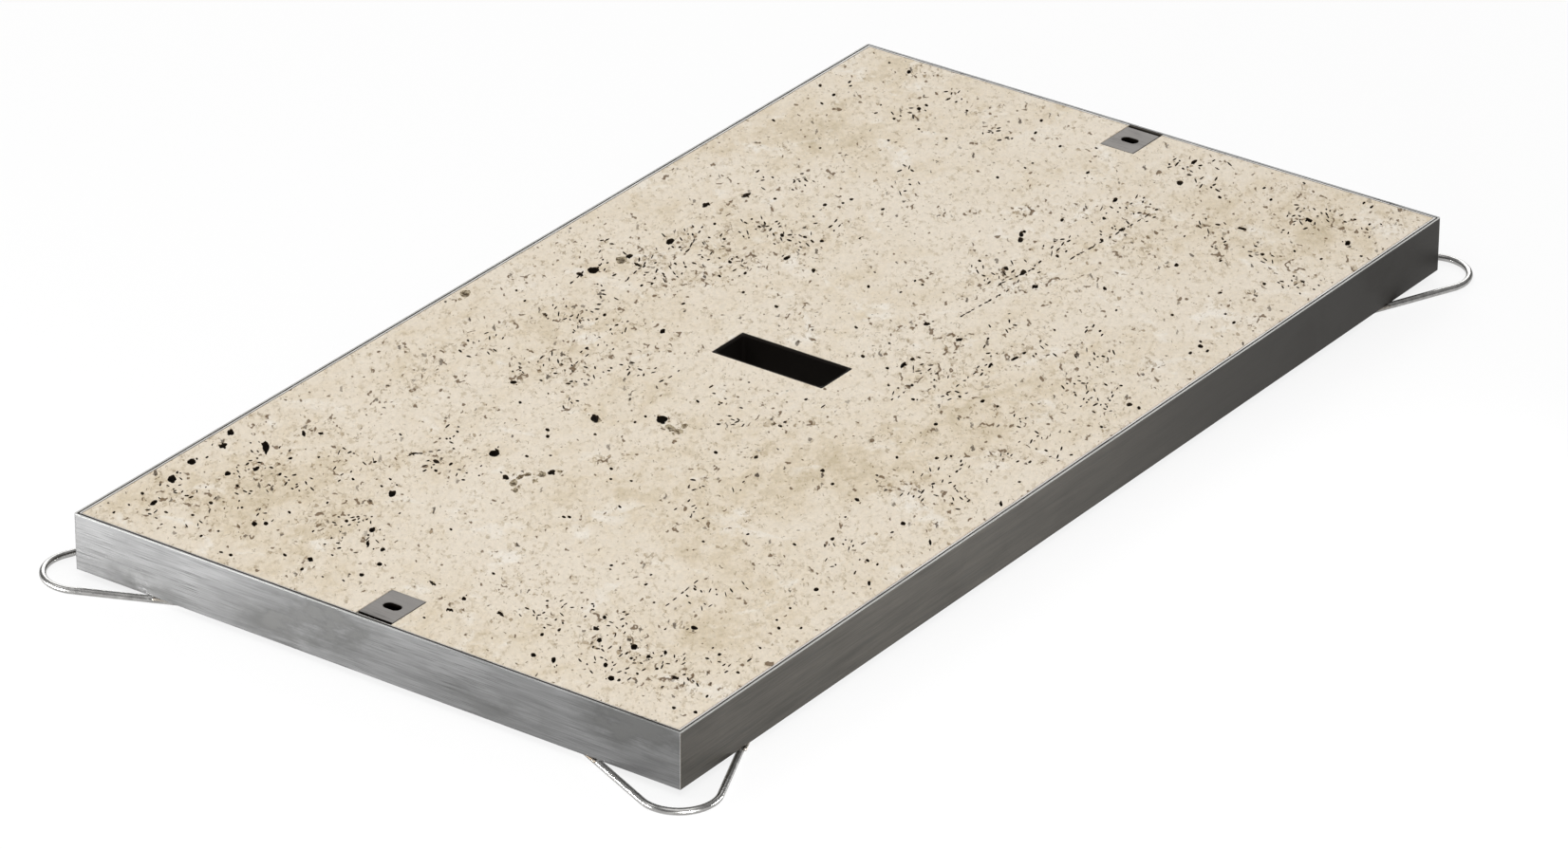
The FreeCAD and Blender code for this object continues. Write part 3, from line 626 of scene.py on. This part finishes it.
# painted shade in the gaps round the key plates, which are also rougher there
gapShade = (belowTop, colour(44, 38, 32), 0.8)
finishes = {
    "stone": makeStoneTop(),
    "pit": makePitWall("pitWall", pitLook),
    "hollow": makePitWall("hollowWall", hollowLook),
    "mortar": makeMortar(),
    # the front and back rails and the long rails get a painted highlight on their rims
    "railAcross": makeBrushedSteel(
        "railSteelAcross", colour(110, 110, 110), colour(94, 94, 94), 0.40, railLines,
        darkLayer=(wallDarkPatches, colour(80, 80, 79), 0.5), rimHighlight=frontRimHighlight),
    # the long rails' steel is a darker copy of the front and back rails' steel, a painted shade, and it
    # gets a painted shade towards the back too
    "railAlongShaded": makeBrushedSteel(
        "railSteelAlongShaded", colour(78, 75, 70), colour(63, 61, 57), 0.40, railLines, alongY=True,
        darkLayer=(farEndShade, colour(53, 51, 48), 0.4), rimHighlight=sideRimHighlight),
    "loop": makeBrushedSteel("loopSteel", colour(172, 171, 169), colour(146, 145, 143), 0.24,
                             (0.004, 0.01, 0.00002), dashed=False),
    # the pan gets a painted shade along its front edge and behind the back key plate
    "pan": makeBrushedSteel("panSteel", *panTones, 0.5, (0.002, 0.12, 0.00004), alongY=True,
                            darkLayer=(jointShade, colour(92, 87, 80), 0.8)),
    "key": makeBrushedSteel("keySteel", *keyTones, 0.62, (0.0012, 0.02, 0.00003), darkLayer=gapShade),
    "keyBox": makeBrushedSteel("keyBoxSteel", panTones[1], keyTones[1], 0.5, (0.002, 0.05, 0.00004),
                               alongY=True, darkLayer=gapShade),
    "rivet": makeBrushedSteel("rivetSteel", *panTones, 0.35, (0.002, 0.004, 0.00002), dashed=False),
    "rubber": makePlain("sealRubber", colour(38, 37, 36), colour(56, 54, 52), 0.03, "Film",
                        (0.62, 0.82), 700.0, 0.0002),
    "plastic": makePlain("linerPlastic", colour(26, 22, 19), colour(38, 33, 29), 0.02, "Spots",
                         (0.7, 0.82), 1200.0, 0.0001, specular=0.08),
    "weld": makePlain("weldSteel", colour(150, 146, 140), colour(104, 92, 78), 0.012, "Film",
                      (0.34, 0.55), None, 0.0002, metallic=1.0),
}
print("finishes made")


def coat(piece, *names):
    piece.data.materials.clear()
    for name in names:
        piece.data.materials.append(finishes[name])


# the nodes that stay as they are, by how their names start
nodeFinishes = {
    "frame_rail_front": "railAcross", "frame_rail_back": "railAcross", "frame_rail": "railAlongShaded",
    "seal_strip": "rubber", "tray": "pan", "outlet_collar": "pan", "bedding_mortar": "mortar",
    "outlet_liner": "plastic", "key_plate": "key", "key_box": "keyBox",
}
for name, node in nodes.items():
    fitting = [finish for start, finish in nodeFinishes.items() if name.startswith(start)]
    if fitting:
        coat(node, fitting[0])


# modelling helpers
def objectMode():
    bpy.ops.object.mode_set(mode="OBJECT")


def editAll():
    bpy.ops.object.mode_set(mode="EDIT")
    bpy.ops.mesh.select_all(action="SELECT")


def clearSelection():
    bpy.ops.object.select_all(action="DESELECT")


def pick(*pieces):
    clearSelection()
    for piece in pieces:
        piece.select_set(True)
    bpy.context.view_layer.objects.active = pieces[0]


def outwards(piece):
    pick(piece)
    editAll()
    bpy.ops.mesh.remove_doubles(threshold=0.00001)
    bpy.ops.mesh.normals_make_consistent(inside=False)
    objectMode()


def smooth(piece, degrees=40):
    pick(piece)
    bpy.ops.object.shade_smooth_by_angle(angle=math.radians(degrees))


def startDisc(corners, radius, place, heading=None):
    # a disc to pull a shape out of: lying, or standing across a heading
    turn = (0, 0, 0) if heading is None else (quarter, 0, heading + quarter)
    clearSelection()
    bpy.ops.mesh.primitive_circle_add(vertices=corners, radius=radius, fill_type="NGON",
                                      location=place, rotation=turn)
    disc = bpy.context.object
    pick(disc)
    bpy.ops.object.transform_apply(location=True, rotation=True, scale=True)
    editAll()
    return disc


def sweepTip(offset):
    bpy.ops.mesh.extrude_region_move(TRANSFORM_OT_translate={"value": offset})


def sizeTip(value, middle):
    bpy.ops.transform.resize(value=value, center_override=middle)


def shaped(piece, finish):
    objectMode()
    outwards(piece)
    smooth(piece)
    coat(piece, finish)
    return piece


def copyOf(piece, name, change=None):
    twin = piece.copy()
    twin.data = piece.data.copy()
    twin.name = name
    twin.data.name = name
    scene.collection.objects.link(twin)
    if change is not None:
        twin.data.transform(change)
        if change.determinant() < 0:
            twin.data.flip_normals()
    return twin


def joined(pieces, name):
    pick(*pieces)
    bpy.ops.object.join()
    whole = bpy.context.object
    whole.name = name
    whole.data.name = name
    return whole


# the slab, with its pits; widths and heights are in points of the photograph, depths in metres
slabSet = {
    "seed": 11,
    "edge": 0.004,  # small pits keep this far from the slab's edges
    "cutterShapes": 8,  # of each kind, fine and coarse
    "cutterSize": 1.12,
    "roughen": 0.34,  # how uneven a pit is, of its half width
    "cutterGap": 1.15,  # how far apart cutters of a set stand, of both reaches
    "shallow": 0.00135,  # pits up to this depth are mottled hollows
    "largeShare": 0.92,  # of the widths and heights in the list of large pits
    "lobes": 3,  # at most so many hollows that widen a large pit
    "lobeAway": 0.36,
    "lobeSize": (0.4, 0.7),
    "lobeTall": 1.2,
    "lobeTilt": (-70, 70),
    "lobeDepth": (0.6, 1.0),
    "satellites": 2,  # at most so many small pits beside a large one
    "satelliteAway": (0.6, 1.3),
    "satelliteSize": (0.25, 0.5),
    "satelliteTilt": (-60, 60),
    "dotWidth": (3.4, 5.8),  # small pits that are listed one by one
    "dotTall": (0.5, 0.8),
    "dotTilt": (-40, 40),
    "dotDepth": (0.0018, 0.0034),
    "seamStep": (0.1, 0.9),
    "seamWidth": (4, 8),
    "seamTall": (1.5, 2.4),
    "seamTilt": 12,
    "seamDepth": (0.0014, 0.0026),
    "crowdShare": 1.5,  # of the count given for a crowd
    "crowdWidth": (2.4, 7.5),
    "crowdTall": (1.5, 2.5),
    "crowdTilt": 30,
    "crowdDepth": (0.0014, 0.0024),
    "crowdGap": 0.7,
    "knot": 6,  # about so many stand close together in a crowd
    "knotReach": (8.0, 0.6),  # across, and how much of that up and down
}
# listed one by one: x, y, width, height, tilt in degrees, depth in mm
largePits = [
    (520.6, 477.8, 12, 7, 0, 6), (413.4, 520.5, 9, 6, 35, 5), (392, 558.5, 7, 5, 10, 5),
    (387.5, 573, 4, 6, 10, 4), (403, 579.5, 6, 4, 30, 4), (400, 594.6, 6, 4.4, 0, 4),
    (327, 589.7, 7, 4, -30, 4), (381, 606, 5.5, 3.6, 0, 3), (626.4, 441, 9, 7, -15, 3),
    (697.5, 442, 13, 8, 10, 5), (706, 451, 13, 6, -25, 1.1), (320, 457, 4, 7, 20, 3),
    (715, 455, 10, 6, -10, 0.9), (721, 449, 8, 5, 20, 0.8), (629, 443, 8, 6, 20, 1.0),
    (338, 457, 6, 3, -12, 2), (280, 471, 8, 12, 10, 6), (202, 487, 9, 7, 0, 6), (181, 505, 10, 7.5, 0, 6),
    (162, 530, 9, 5, 28, 4), (243, 456, 8, 6, -20, 5), (235, 470, 10, 4.5, 25, 4), (240, 499, 7, 5, 0, 4),
    (270, 494, 8, 4, 30, 4), (268, 552, 6.5, 5, 0, 4), (280, 552, 5.5, 4.4, 0, 4),
    (625.5, 285, 12, 7, 8, 7), (655, 274, 12, 8, 12, 1.3), (663, 270, 8, 4, 10, 2.4),
    (672, 279, 10, 2.6, -28, 1.5), (611, 289, 8, 4, -20, 3), (706, 254.5, 10, 6, 20, 3.5),
    (698, 349, 7, 4.6, 40, 4), (829, 272, 8, 4, 18, 3), (541, 403, 8, 4, 0, 3), (951.4, 385, 9, 4, 48, 4),
    (976.4, 341.6, 8, 3.4, 4, 3), (1090.5, 302, 7, 3.8, -14, 3), (957.6, 75.7, 5, 4, 20, 4),
    (968.3, 114.5, 4.6, 3.6, 0, 3), (1378.9, 232, 8, 4, -35, 4), (1420, 256, 6, 5.4, 20, 4),
    (1309, 241, 10, 3, -14, 2.4), (1264.4, 365, 6, 4, -10, 4), (951.3, 551.8, 6, 4, 0, 4),
    (902.9, 526.8, 6, 3.2, -30, 3), (860, 621.6, 6, 4, 10, 4), (668, 682, 7, 7.4, -35, 5),
    (643.8, 715, 7.6, 5.6, -20, 5), (638, 701, 5, 5, 0, 4), (628, 662.7, 7, 4, -18, 4),
    (631.7, 674.6, 5.4, 5, -30, 3), (731.6, 661.6, 8, 4, -18, 4), (683.4, 692, 5, 4, 0, 3),
    (701, 688, 4, 5, 0, 3), (583.3, 695.7, 5, 7, -10, 4), (562.3, 690.3, 6, 4, -28, 4),
    (1076, 247, 5, 6, 20, 3), (1075, 253, 6, 6, -10, 2), (1079, 244, 4, 3, 0, 2),
    (490, 309.5, 11, 8, 0, 1.2), (533, 503, 8, 5, -30, 2.2), (541, 509, 9, 7, 20, 1.2),
    (548, 503, 10, 4, 25, 1.0), (543, 517, 6, 6, 0, 1.2), (556, 500, 8, 4, 10, 1.1),
    (571, 500, 9, 5, 15, 1.3), (581, 498, 9, 5, 25, 2.2), (590, 497, 6, 3, 0, 1.1),
    (564, 507, 7, 3, -20, 0.9), (1054.6, 531.4, 3.4, 6, 20, 3), (980, 572, 3, 7, 8, 3),
    (915.6, 615, 3.4, 6, 10, 3), (732.6, 750.6, 4.4, 3.4, 0, 3), (711.8, 714.4, 8, 3, -22, 2),
    (785.9, 205.8, 11, 4, 20, 1.4), (743.8, 216, 9, 3.6, 32, 2.4), (1010.6, 358, 8, 3, 15, 2),
    (1043.3, 385, 7, 3, 52, 2), (1068.8, 378, 9, 3, 30, 2), (1258, 170.7, 8, 3.6, 28, 2.4),
    (1243, 192.7, 7, 5, 0, 2), (1175, 210.5, 6, 4, 40, 3), (1182, 242, 8, 2.8, 18, 2),
    (473.9, 642.8, 8, 3, -14, 2.4), (527.4, 647, 9, 3.4, -42, 2.4), (489, 631, 5, 4, -40, 3),
    (456, 614.7, 9, 3, -35, 1.4), (435.6, 478, 10, 2.4, 4, 1.4), (459.6, 486.4, 8, 4, -25, 1.4),
    (815, 447, 6, 3, 10, 1.2), (822, 449, 5, 3, -20, 1.4), (827, 445, 4, 2.4, 0, 1.4),
    (1190, 426.3, 7, 4, 0, 1.4), (1060, 283, 6, 4, -30, 2), (1078, 287, 7, 5, 20, 2),
    (857, 285, 5, 4, 0, 2), (637, 650.7, 4.4, 4.4, 0, 3),
]
# small ones, listed one by one: x, y
smallPits = [
    (218, 482), (136, 532), (271, 483), (306, 483), (336, 482), (395, 487), (422, 458), (402, 512.5),
    (411, 505), (418, 511), (388, 564), (233, 582), (184, 556), (203, 543), (421, 541), (475, 558),
    (459, 496), (365, 549), (482, 455), (475, 489), (478, 473), (594, 545), (653, 534), (665, 507),
    (644, 596), (644, 494), (669, 445), (577, 453), (627, 458), (555, 481), (580, 480), (528, 498),
    (640, 277), (544, 306), (553, 317), (720, 320), (687, 299), (676, 301), (769, 276), (758, 291),
    (785, 288), (783, 308), (824, 248), (816, 257), (848, 250), (763, 252), (818, 323), (637, 332),
    (618, 367), (646, 368), (570, 401), (602, 402), (644, 388), (715, 391), (789, 403), (680, 439),
    (735, 423), (548, 424), (577, 460), (485, 370), (483, 450), (493, 359), (757, 447), (754, 477),
    (796, 482), (877, 510), (866, 496), (788, 563), (741, 571), (837, 574), (680.5, 616), (732, 621),
    (724, 628), (689, 635), (832.5, 641), (818.5, 653.5), (686, 606), (625, 682), (701, 663), (665, 694),
    (652, 717), (671.5, 710), (692, 705), (721, 711), (698, 724), (745, 734), (691, 758), (710, 746),
    (624.5, 731), (571, 669), (589, 664), (820.6, 662), (844, 662), (801, 683), (777.5, 709), (758, 690),
    (745, 694), (751, 683), (921.6, 287), (915, 302), (964, 296), (972, 300), (949, 308), (1032, 275),
    (902, 345), (909, 375.6), (961, 378.6), (936, 406), (961, 406), (935, 388), (937, 362), (1041, 357),
    (1079, 372), (1036, 422), (1011, 418), (1051, 428), (962, 421), (986, 447), (1111, 348), (1159, 349),
    (1164, 304), (1235, 332), (1272, 370), (1254, 372), (1200, 430), (1160.6, 450), (1127, 455),
    (1102, 475), (1137.6, 475), (1240, 279), (1176, 327), (1251, 176), (1232, 173), (1276, 197.5),
    (1332, 198), (1374, 193), (1437, 214), (1445, 218), (1339, 210.5), (1369, 227.6), (1163, 230),
    (1180, 219), (1161, 253), (1455, 236.5), (1443, 236.5), (1330, 268), (1392, 273), (1434, 270),
    (1364, 264.6), (1363, 291), (1384.5, 305), (1286, 275), (1248, 249), (1332, 299), (1286, 308.5),
    (1291, 331), (1235, 332), (1300, 340), (1265, 360), (1239, 280), (1285, 208), (937, 66), (895, 86.4),
    (896, 90.5), (864, 90), (878.5, 100), (866, 109), (815, 127), (976, 111), (942, 125), (936, 148),
    (968, 136), (997, 146), (1051, 187), (1019, 116.5), (814, 187), (816.5, 209.6), (897, 210), (869, 216),
    (888, 214), (857, 228), (753, 236), (866, 254), (800, 239), (792, 231), (906, 251), (930, 220.6),
    (864, 156), (1097, 127), (1091, 140), (1117, 154), (1088, 172), (1080, 177), (1155, 156), (1146, 182),
    (849, 421), (797, 481.6), (878, 510), (924, 501), (987, 483), (1002, 481), (1013, 490), (1008, 497),
    (983, 510), (1003, 530.6), (1041, 540), (1074, 508), (940, 561), (983, 584), (914, 591), (924.5, 595),
    (877, 568), (890.6, 545), (1085, 487), (945, 482), (867, 496), (1035, 423), (1114, 270), (1119, 232),
    (1164, 230), (643.5, 505), (519.8, 604.5), (643, 600), (600, 545), (447, 651), (357, 545), (295, 500),
    (308, 515), (250, 512), (222, 530), (150, 520), (255, 535), (305, 540), (330, 560), (345, 530),
    (372, 505), (300, 585), (318, 600), (350, 585), (340, 608), (362, 612), (212, 565), (175, 540),
    (120, 540), (230, 560), (243, 585), (225, 590),
]


def pitCutter(number, fineness):
    # a lumpy ball: few corners, moved about, then rounded off
    clearSelection()
    bpy.ops.mesh.primitive_ico_sphere_add(subdivisions=fineness, radius=slabSet["cutterSize"])
    ball = bpy.context.object
    editAll()
    bpy.ops.transform.vertex_random(offset=slabSet["roughen"], seed=number)
    objectMode()
    rounding = ball.modifiers.new("rounding", "SUBSURF")
    rounding.levels = 1
    rounding.render_levels = 1
    bpy.ops.object.modifier_apply(modifier=rounding.name)
    ball.name = "pitCutter" + str(number)
    return ball


def pitMatrix(x, y, width, tall, tilt, depth):
    middle = slabPoint(x, y)
    lean = math.radians(tilt)
    first = slabPoint(x + width / 2 * math.cos(lean), y - width / 2 * math.sin(lean)) - middle
    second = slabPoint(x + tall / 2 * math.sin(lean), y + tall / 2 * math.cos(lean)) - middle
    if first.cross(second).z < 0:
        second = -second
    turn = Matrix((first, second, Vector((0, 0, depth)))).transposed().to_4x4()
    return Matrix.Translation(middle) @ turn, max(first.length, second.length)


def nearEdge(place, reach):
    inside = slabSet["edge"] + reach
    if not slabLow.x + inside < place.x < slabHigh.x - inside:
        return True
    if not slabLow.y + inside < place.y < slabHigh.y - inside:
        return True
    for node in ("outlet_liner", "key_plate_front", "key_plate_back"):
        low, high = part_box(node)
        if low.x - inside < place.x < high.x + inside and low.y - inside < place.y < high.y + inside:
            return True
    return False


def apart(place, reach, others, share):
    return all((place - other[0].translation).length > share * (reach + other[1]) for other in others)


def planPits():
    look = slabSet
    rng = random.Random(look["seed"])
    plan = []

    def draw(name):
        return rng.uniform(*look[name])

    def dig(x, y, width, tall, tilt, depth, large=False, inside=False, gap=None):
        matrix, reach = pitMatrix(x, y, width, tall, tilt, depth)
        place = matrix.translation
        if gap is not None and not apart(place, reach, plan, gap):
            return
        if not inside or not nearEdge(place, reach):
            plan.append((matrix, reach, large))

    for x, y, width, tall, tilt, depth in largePits:
        width *= look["largeShare"]
        tall *= look["largeShare"]
        depth /= 1000
        dig(x, y, width, tall, tilt, depth, large=True)
        for turn in range(rng.randint(1, look["lobes"])):
            angle = rng.uniform(0, 6.28)
            share = draw("lobeSize")
            away = look["lobeAway"]
            dig(x + math.cos(angle) * width * away, y + math.sin(angle) * tall * away, width * share,
                tall * share * look["lobeTall"], draw("lobeTilt"), depth * draw("lobeDepth"))
        for turn in range(rng.randint(0, look["satellites"])):
            angle = rng.uniform(0, 6.28)
            away = draw("satelliteAway")
            share = draw("satelliteSize")
            dig(x + math.cos(angle) * width * away, y + math.sin(angle) * tall * away,
                width * share, tall * share, draw("satelliteTilt"), depth * share, inside=True)
    for x, y in smallPits:
        width = draw("dotWidth")
        dig(x, y, width, width * draw("dotTall"), draw("dotTilt"), draw("dotDepth"), inside=True)
    for startX, startY, endX, endY, many in pitSeams:
        lean = math.degrees(math.atan2(startY - endY, endX - startX))
        for turn in range(many):
            share = (turn + draw("seamStep")) / many
            dig(startX + (endX - startX) * share, startY + (endY - startY) * share, draw("seamWidth"),
                draw("seamTall"), rng.gauss(lean, look["seamTilt"]), draw("seamDepth"))
    knotX, knotY = look["knotReach"]
    for x, y, across, upDown, many, lean in pitCrowds:
        for turn in range(int(many * look["crowdShare"])):
            if turn % look["knot"] == 0:
                middleX = rng.gauss(x, across / 2)
                middleY = rng.gauss(y, upDown / 2)
                knotLean = rng.choice((lean, lean, -lean))
            width = draw("crowdWidth")
            tall = draw("crowdTall")
            dig(rng.gauss(middleX, knotX), rng.gauss(middleY, knotX * knotY), width, tall,
                rng.gauss(knotLean, look["crowdTilt"]), draw("crowdDepth"), inside=True,
                gap=look["crowdGap"])
    return plan


def makeSlab():
    look = slabSet
    slab = copyOf(nodes["stone_slab"], "stoneSlab")
    slab.parent = None
    for key in list(slab.keys()):
        del slab[key]
    coat(slab, "stone", "pit", "hollow")
    outwards(slab)
    shapes = look["cutterShapes"]
    fine = [pitCutter(number, 2) for number in range(shapes)]
    coarse = [pitCutter(number + shapes, 1) for number in range(shapes)]
    # cutters that touch each other go in separate sets
    sets = []
    for number, (matrix, reach, large) in enumerate(planPits()):
        balls = fine if large else coarse
        for members in sets:
            if apart(matrix.translation, reach, members, look["cutterGap"]):
                break
        else:
            members = []
            sets.append(members)
        members.append((matrix, reach, balls[number % shapes]))
    for number, members in enumerate(sets):
        cutters = []
        for matrix, reach, ball in members:
            cutter = copyOf(ball, "cutter", matrix)
            coat(cutter, "stone", "pit", "hollow")
            which = 2 if matrix.col[2].length < look["shallow"] else 1
            for face in cutter.data.polygons:
                face.material_index = which
            cutters.append(cutter)
        tool = joined(cutters, "pitTool" + str(number))
        cut = slab.modifiers.new("pits", "BOOLEAN")
        cut.operation = "DIFFERENCE"
        cut.solver = "MANIFOLD"
        cut.object = tool
        pick(slab)
        bpy.ops.object.modifier_apply(modifier=cut.name)
        bpy.data.objects.remove(tool)
        print("pits cut", number + 1, "of", len(sets), "with", len(members), "cutters")
    for ball in fine + coarse:
        bpy.data.objects.remove(ball)
    smooth(slab)
    for face in slab.data.polygons:  # only the pits are smooth
        if face.material_index == 0:
            face.use_smooth = False
    return slab


slab = makeSlab()
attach(slab, "root")
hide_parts("stone_slab")
print("slab made,", len(slab.data.polygons), "faces")


# anchor loops: a leg, the round nose, a leg
loopSet = {
    "bar": 0.003,  # half the bar's thickness
    "lift": 0.003,  # its middle above the ground
    "start": (0.178147, 0.5300625),
    "heading": math.radians(23.5),
    "leg": 0.114124,
    "nose": (0.295765, 0.545765),
    "noseTurn": math.radians(137.0),
    "noseSteps": 28,
    "round": 20,
}


def ahead(heading):
    return Vector((math.cos(heading), math.sin(heading), 0))


def makeLoop():
    look = loopSet
    lean = look["heading"]
    loop = startDisc(look["round"], look["bar"], (*look["start"], look["lift"]), lean)
    sweepTip(ahead(lean) * look["leg"])
    bpy.ops.mesh.spin(steps=look["noseSteps"], angle=look["noseTurn"],
                      center=(*look["nose"], look["lift"]), axis=(0, 0, 1))
    sweepTip(ahead(lean - look["noseTurn"]) * look["leg"])
    return shaped(loop, "loop")


def atCorners(piece, names):
    # the piece stands at the back right corner, and is mirrored to the others
    sides = {"BackRight": (1, 1), "BackLeft": (-1, 1), "FrontRight": (1, -1), "FrontLeft": (-1, -1)}
    pieces = []
    for corner, (x, y) in sides.items():
        pieces.append(copyOf(piece, names + corner, Matrix.Diagonal((x, y, 1, 1))))
    bpy.data.objects.remove(piece)
    return pieces


for loop in atCorners(makeLoop(), "anchorLoop"):
    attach(loop, "root")
    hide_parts("anchor_loops")
print("loops made")


# rivets of the liner: a low dome, the shank, a smaller dome
rivetSet = {
    "round": 20,
    "spots": [(-0.04, -0.02875), (0.04, -0.02875), (-0.04, 0.02875), (0.04, 0.02875)],
    "profile": [  # half width and height, from the bottom up
        (0.0004, 0.00780), (0.0013, 0.00786), (0.0023, 0.00808), (0.0031, 0.00846), (0.0035, 0.00900),
        (0.0020, 0.00900), (0.0020, 0.01250), (0.0035, 0.01250), (0.0032, 0.01296), (0.0024, 0.01338),
        (0.0013, 0.01364), (0.0004, 0.01370)],
}


def makeRivet():
    profile = rivetSet["profile"]
    width, height = profile[0]
    rivet = startDisc(rivetSet["round"], width, (0, 0, height))
    for nextWidth, nextHeight in profile[1:]:
        sweepTip((0, 0, nextHeight - height))
        ratio = nextWidth / width
        sizeTip((ratio, ratio, 1), (0, 0, nextHeight))
        width, height = nextWidth, nextHeight
    return shaped(rivet, "rivet")


rivet = makeRivet()
for number, (x, y) in enumerate(rivetSet["spots"]):
    twin = copyOf(rivet, "linerRivet" + str(number + 1), Matrix.Translation((x, y, 0)))
    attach(twin, "root")
    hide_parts("liner_rivets")
bpy.data.objects.remove(rivet)
print("rivets made")


# weld beads that hold a loop's legs to the underside of the ledge
weldSet = {
    "seed": 4,
    "round": 12,
    "bead": 0.0015,  # half the bead's thickness
    "aside": 0.0030,  # its middle beside the bar's, and above it
    "above": 0.0017,
    "from": 0.004,  # along the leg
    "to": 0.046,
    "ripples": 21,
    "crest": (0.88, 1.08),
    "wave": (0.86, 1.0, 0.9),  # thickness along one ripple, of its crest
    "tip": 0.35,
    "end": 0.4,
}
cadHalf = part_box("frame_rail_right")[1]


def makeWeldBead(side, seed):
    look = weldSet
    rng = random.Random(seed)
    lean = loopSet["heading"]
    across = Vector((-math.sin(lean), math.cos(lean), 0))
    place = Vector((*loopSet["start"], loopSet["lift"] + look["above"]))
    place += ahead(lean) * look["from"] + across * side * look["aside"]
    step = ahead(lean) * ((look["to"] - look["from"]) / look["ripples"] / len(look["wave"]))
    bead = startDisc(look["round"], look["bead"] * look["tip"], place, lean)
    size = look["tip"]
    for ripple in range(look["ripples"]):
        crest = rng.uniform(*look["crest"])
        for share in look["wave"]:
            place = place + step
            sweepTip(step)
            ratio = crest * share / size
            sizeTip((ratio, ratio, ratio), place)
            size = crest * share
    sweepTip(step)
    sizeTip((look["end"],) * 3, place + step)
    objectMode()
    outwards(bead)
    return bead


def makeLoopWelds():
    inner = makeWeldBead(-1, weldSet["seed"])
    outer = makeWeldBead(1, weldSet["seed"] + 1)
    # the other leg lies mirrored across the corner's diagonal
    corner = cadHalf.y - cadHalf.x
    swap = Matrix(((0, 1, 0, -corner), (1, 0, 0, corner), (0, 0, 1, 0), (0, 0, 0, 1)))
    beads = [inner, outer, copyOf(inner, "bead", swap), copyOf(outer, "bead", swap)]
    welds = joined(beads, "loopWelds")
    smooth(welds, degrees=50)
    coat(welds, "weld")
    return welds


for weld in atCorners(makeLoopWelds(), "loopWeld"):
    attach(weld, "root")
print("welds made")


# studio
studio = {
    "floorSize": 16.0,
    "floorDrop": -0.0003,
    "floorTone": colour(252, 252, 252),
    "floorGlow": 0.84,  # share of plain white that the camera, metal and glass see
    "sky": (0.05, 0.6, 0.10, 0.45),  # from low to high, and how bright there
    "lamps": {  # place, size, watts, what it points at
        "softboxTop": ((0.55, -0.95, 2.6), (2.2, 2.2), 27.0, (0.05, -0.1, 0)),
        "softboxBack": ((-3.1, 4.32, 2.80), (4.8, 3.2), 170.0, (0, 0, 0.05)),
        "softboxLeft": ((-1.6, -1.44, 2.24), (1.1, 1.1), 9.0, (-0.1, -0.55, 0.05)),
        "stripFront": ((-0.80, -1.25, 0.03), (0.8, 0.05), 38.0, (-0.15, -0.55, 0.03)),
        "stripCorner": ((1.25, -1.22, 0.06), (0.5, 0.06), 55.0, (0.3, -0.55, 0.03)),
        "stripRight": ((0.85, 0.10, 0.03), (0.5, 0.05), 6.0, (0.3, -0.45, 0.03)),
    },
}
plainWhite = (1, 1, 1, 1)


def makeFloor():
    clearSelection()
    bpy.ops.mesh.primitive_plane_add(size=studio["floorSize"], location=(0, 0, studio["floorDrop"]))
    floor = bpy.context.object
    floor.name = "floor"
    material, shader = freshMaterial("studioFloor", 0.8, specular=0.0)
    fill(shader, {"Base Color": studio["floorTone"]})
    tree = material.node_tree
    glow = addNode("Emission", {"Color": plainWhite, "Strength": 1.0}, tree)
    path = addNode("LightPath", {}, tree)
    seen = larger(path["Is Camera Ray"], path["Is Glossy Ray"])
    seen = larger(seen, path["Is Transmission Ray"])
    share = times(seen, studio["floorGlow"])
    both = addNode("MixShader", {0: share, 1: shader.outputs[0], 2: glow[0]})
    fill(tree.nodes["Material Output"], {"Surface": both[0]})
    floor.data.materials.append(material)


def makeSky():
    world = bpy.data.worlds.new("softRoom")
    scene.world = world
    world.use_nodes = True
    tree = world.node_tree
    rise = axes(addNode("TexCoord", {}, tree)["Generated"])[2]
    fill(tree.nodes["Background"], {
        "Color": plainWhite, "Strength": ranged(rise, *studio["sky"])})


def addLamp(name, place, size, watts, aim):
    data = bpy.data.lights.new(name, "AREA")
    data.shape = "RECTANGLE"
    data.size, data.size_y = size
    data.energy = watts
    lamp = bpy.data.objects.new(name, data)
    lamp.location = place
    lamp.rotation_euler = (Vector(aim) - Vector(place)).to_track_quat("-Z", "Y").to_euler()
    lamp.visible_camera = False
    scene.collection.objects.link(lamp)


makeFloor()
makeSky()
for name, lamp in studio["lamps"].items():
    addLamp(name, *lamp)
print("studio made")
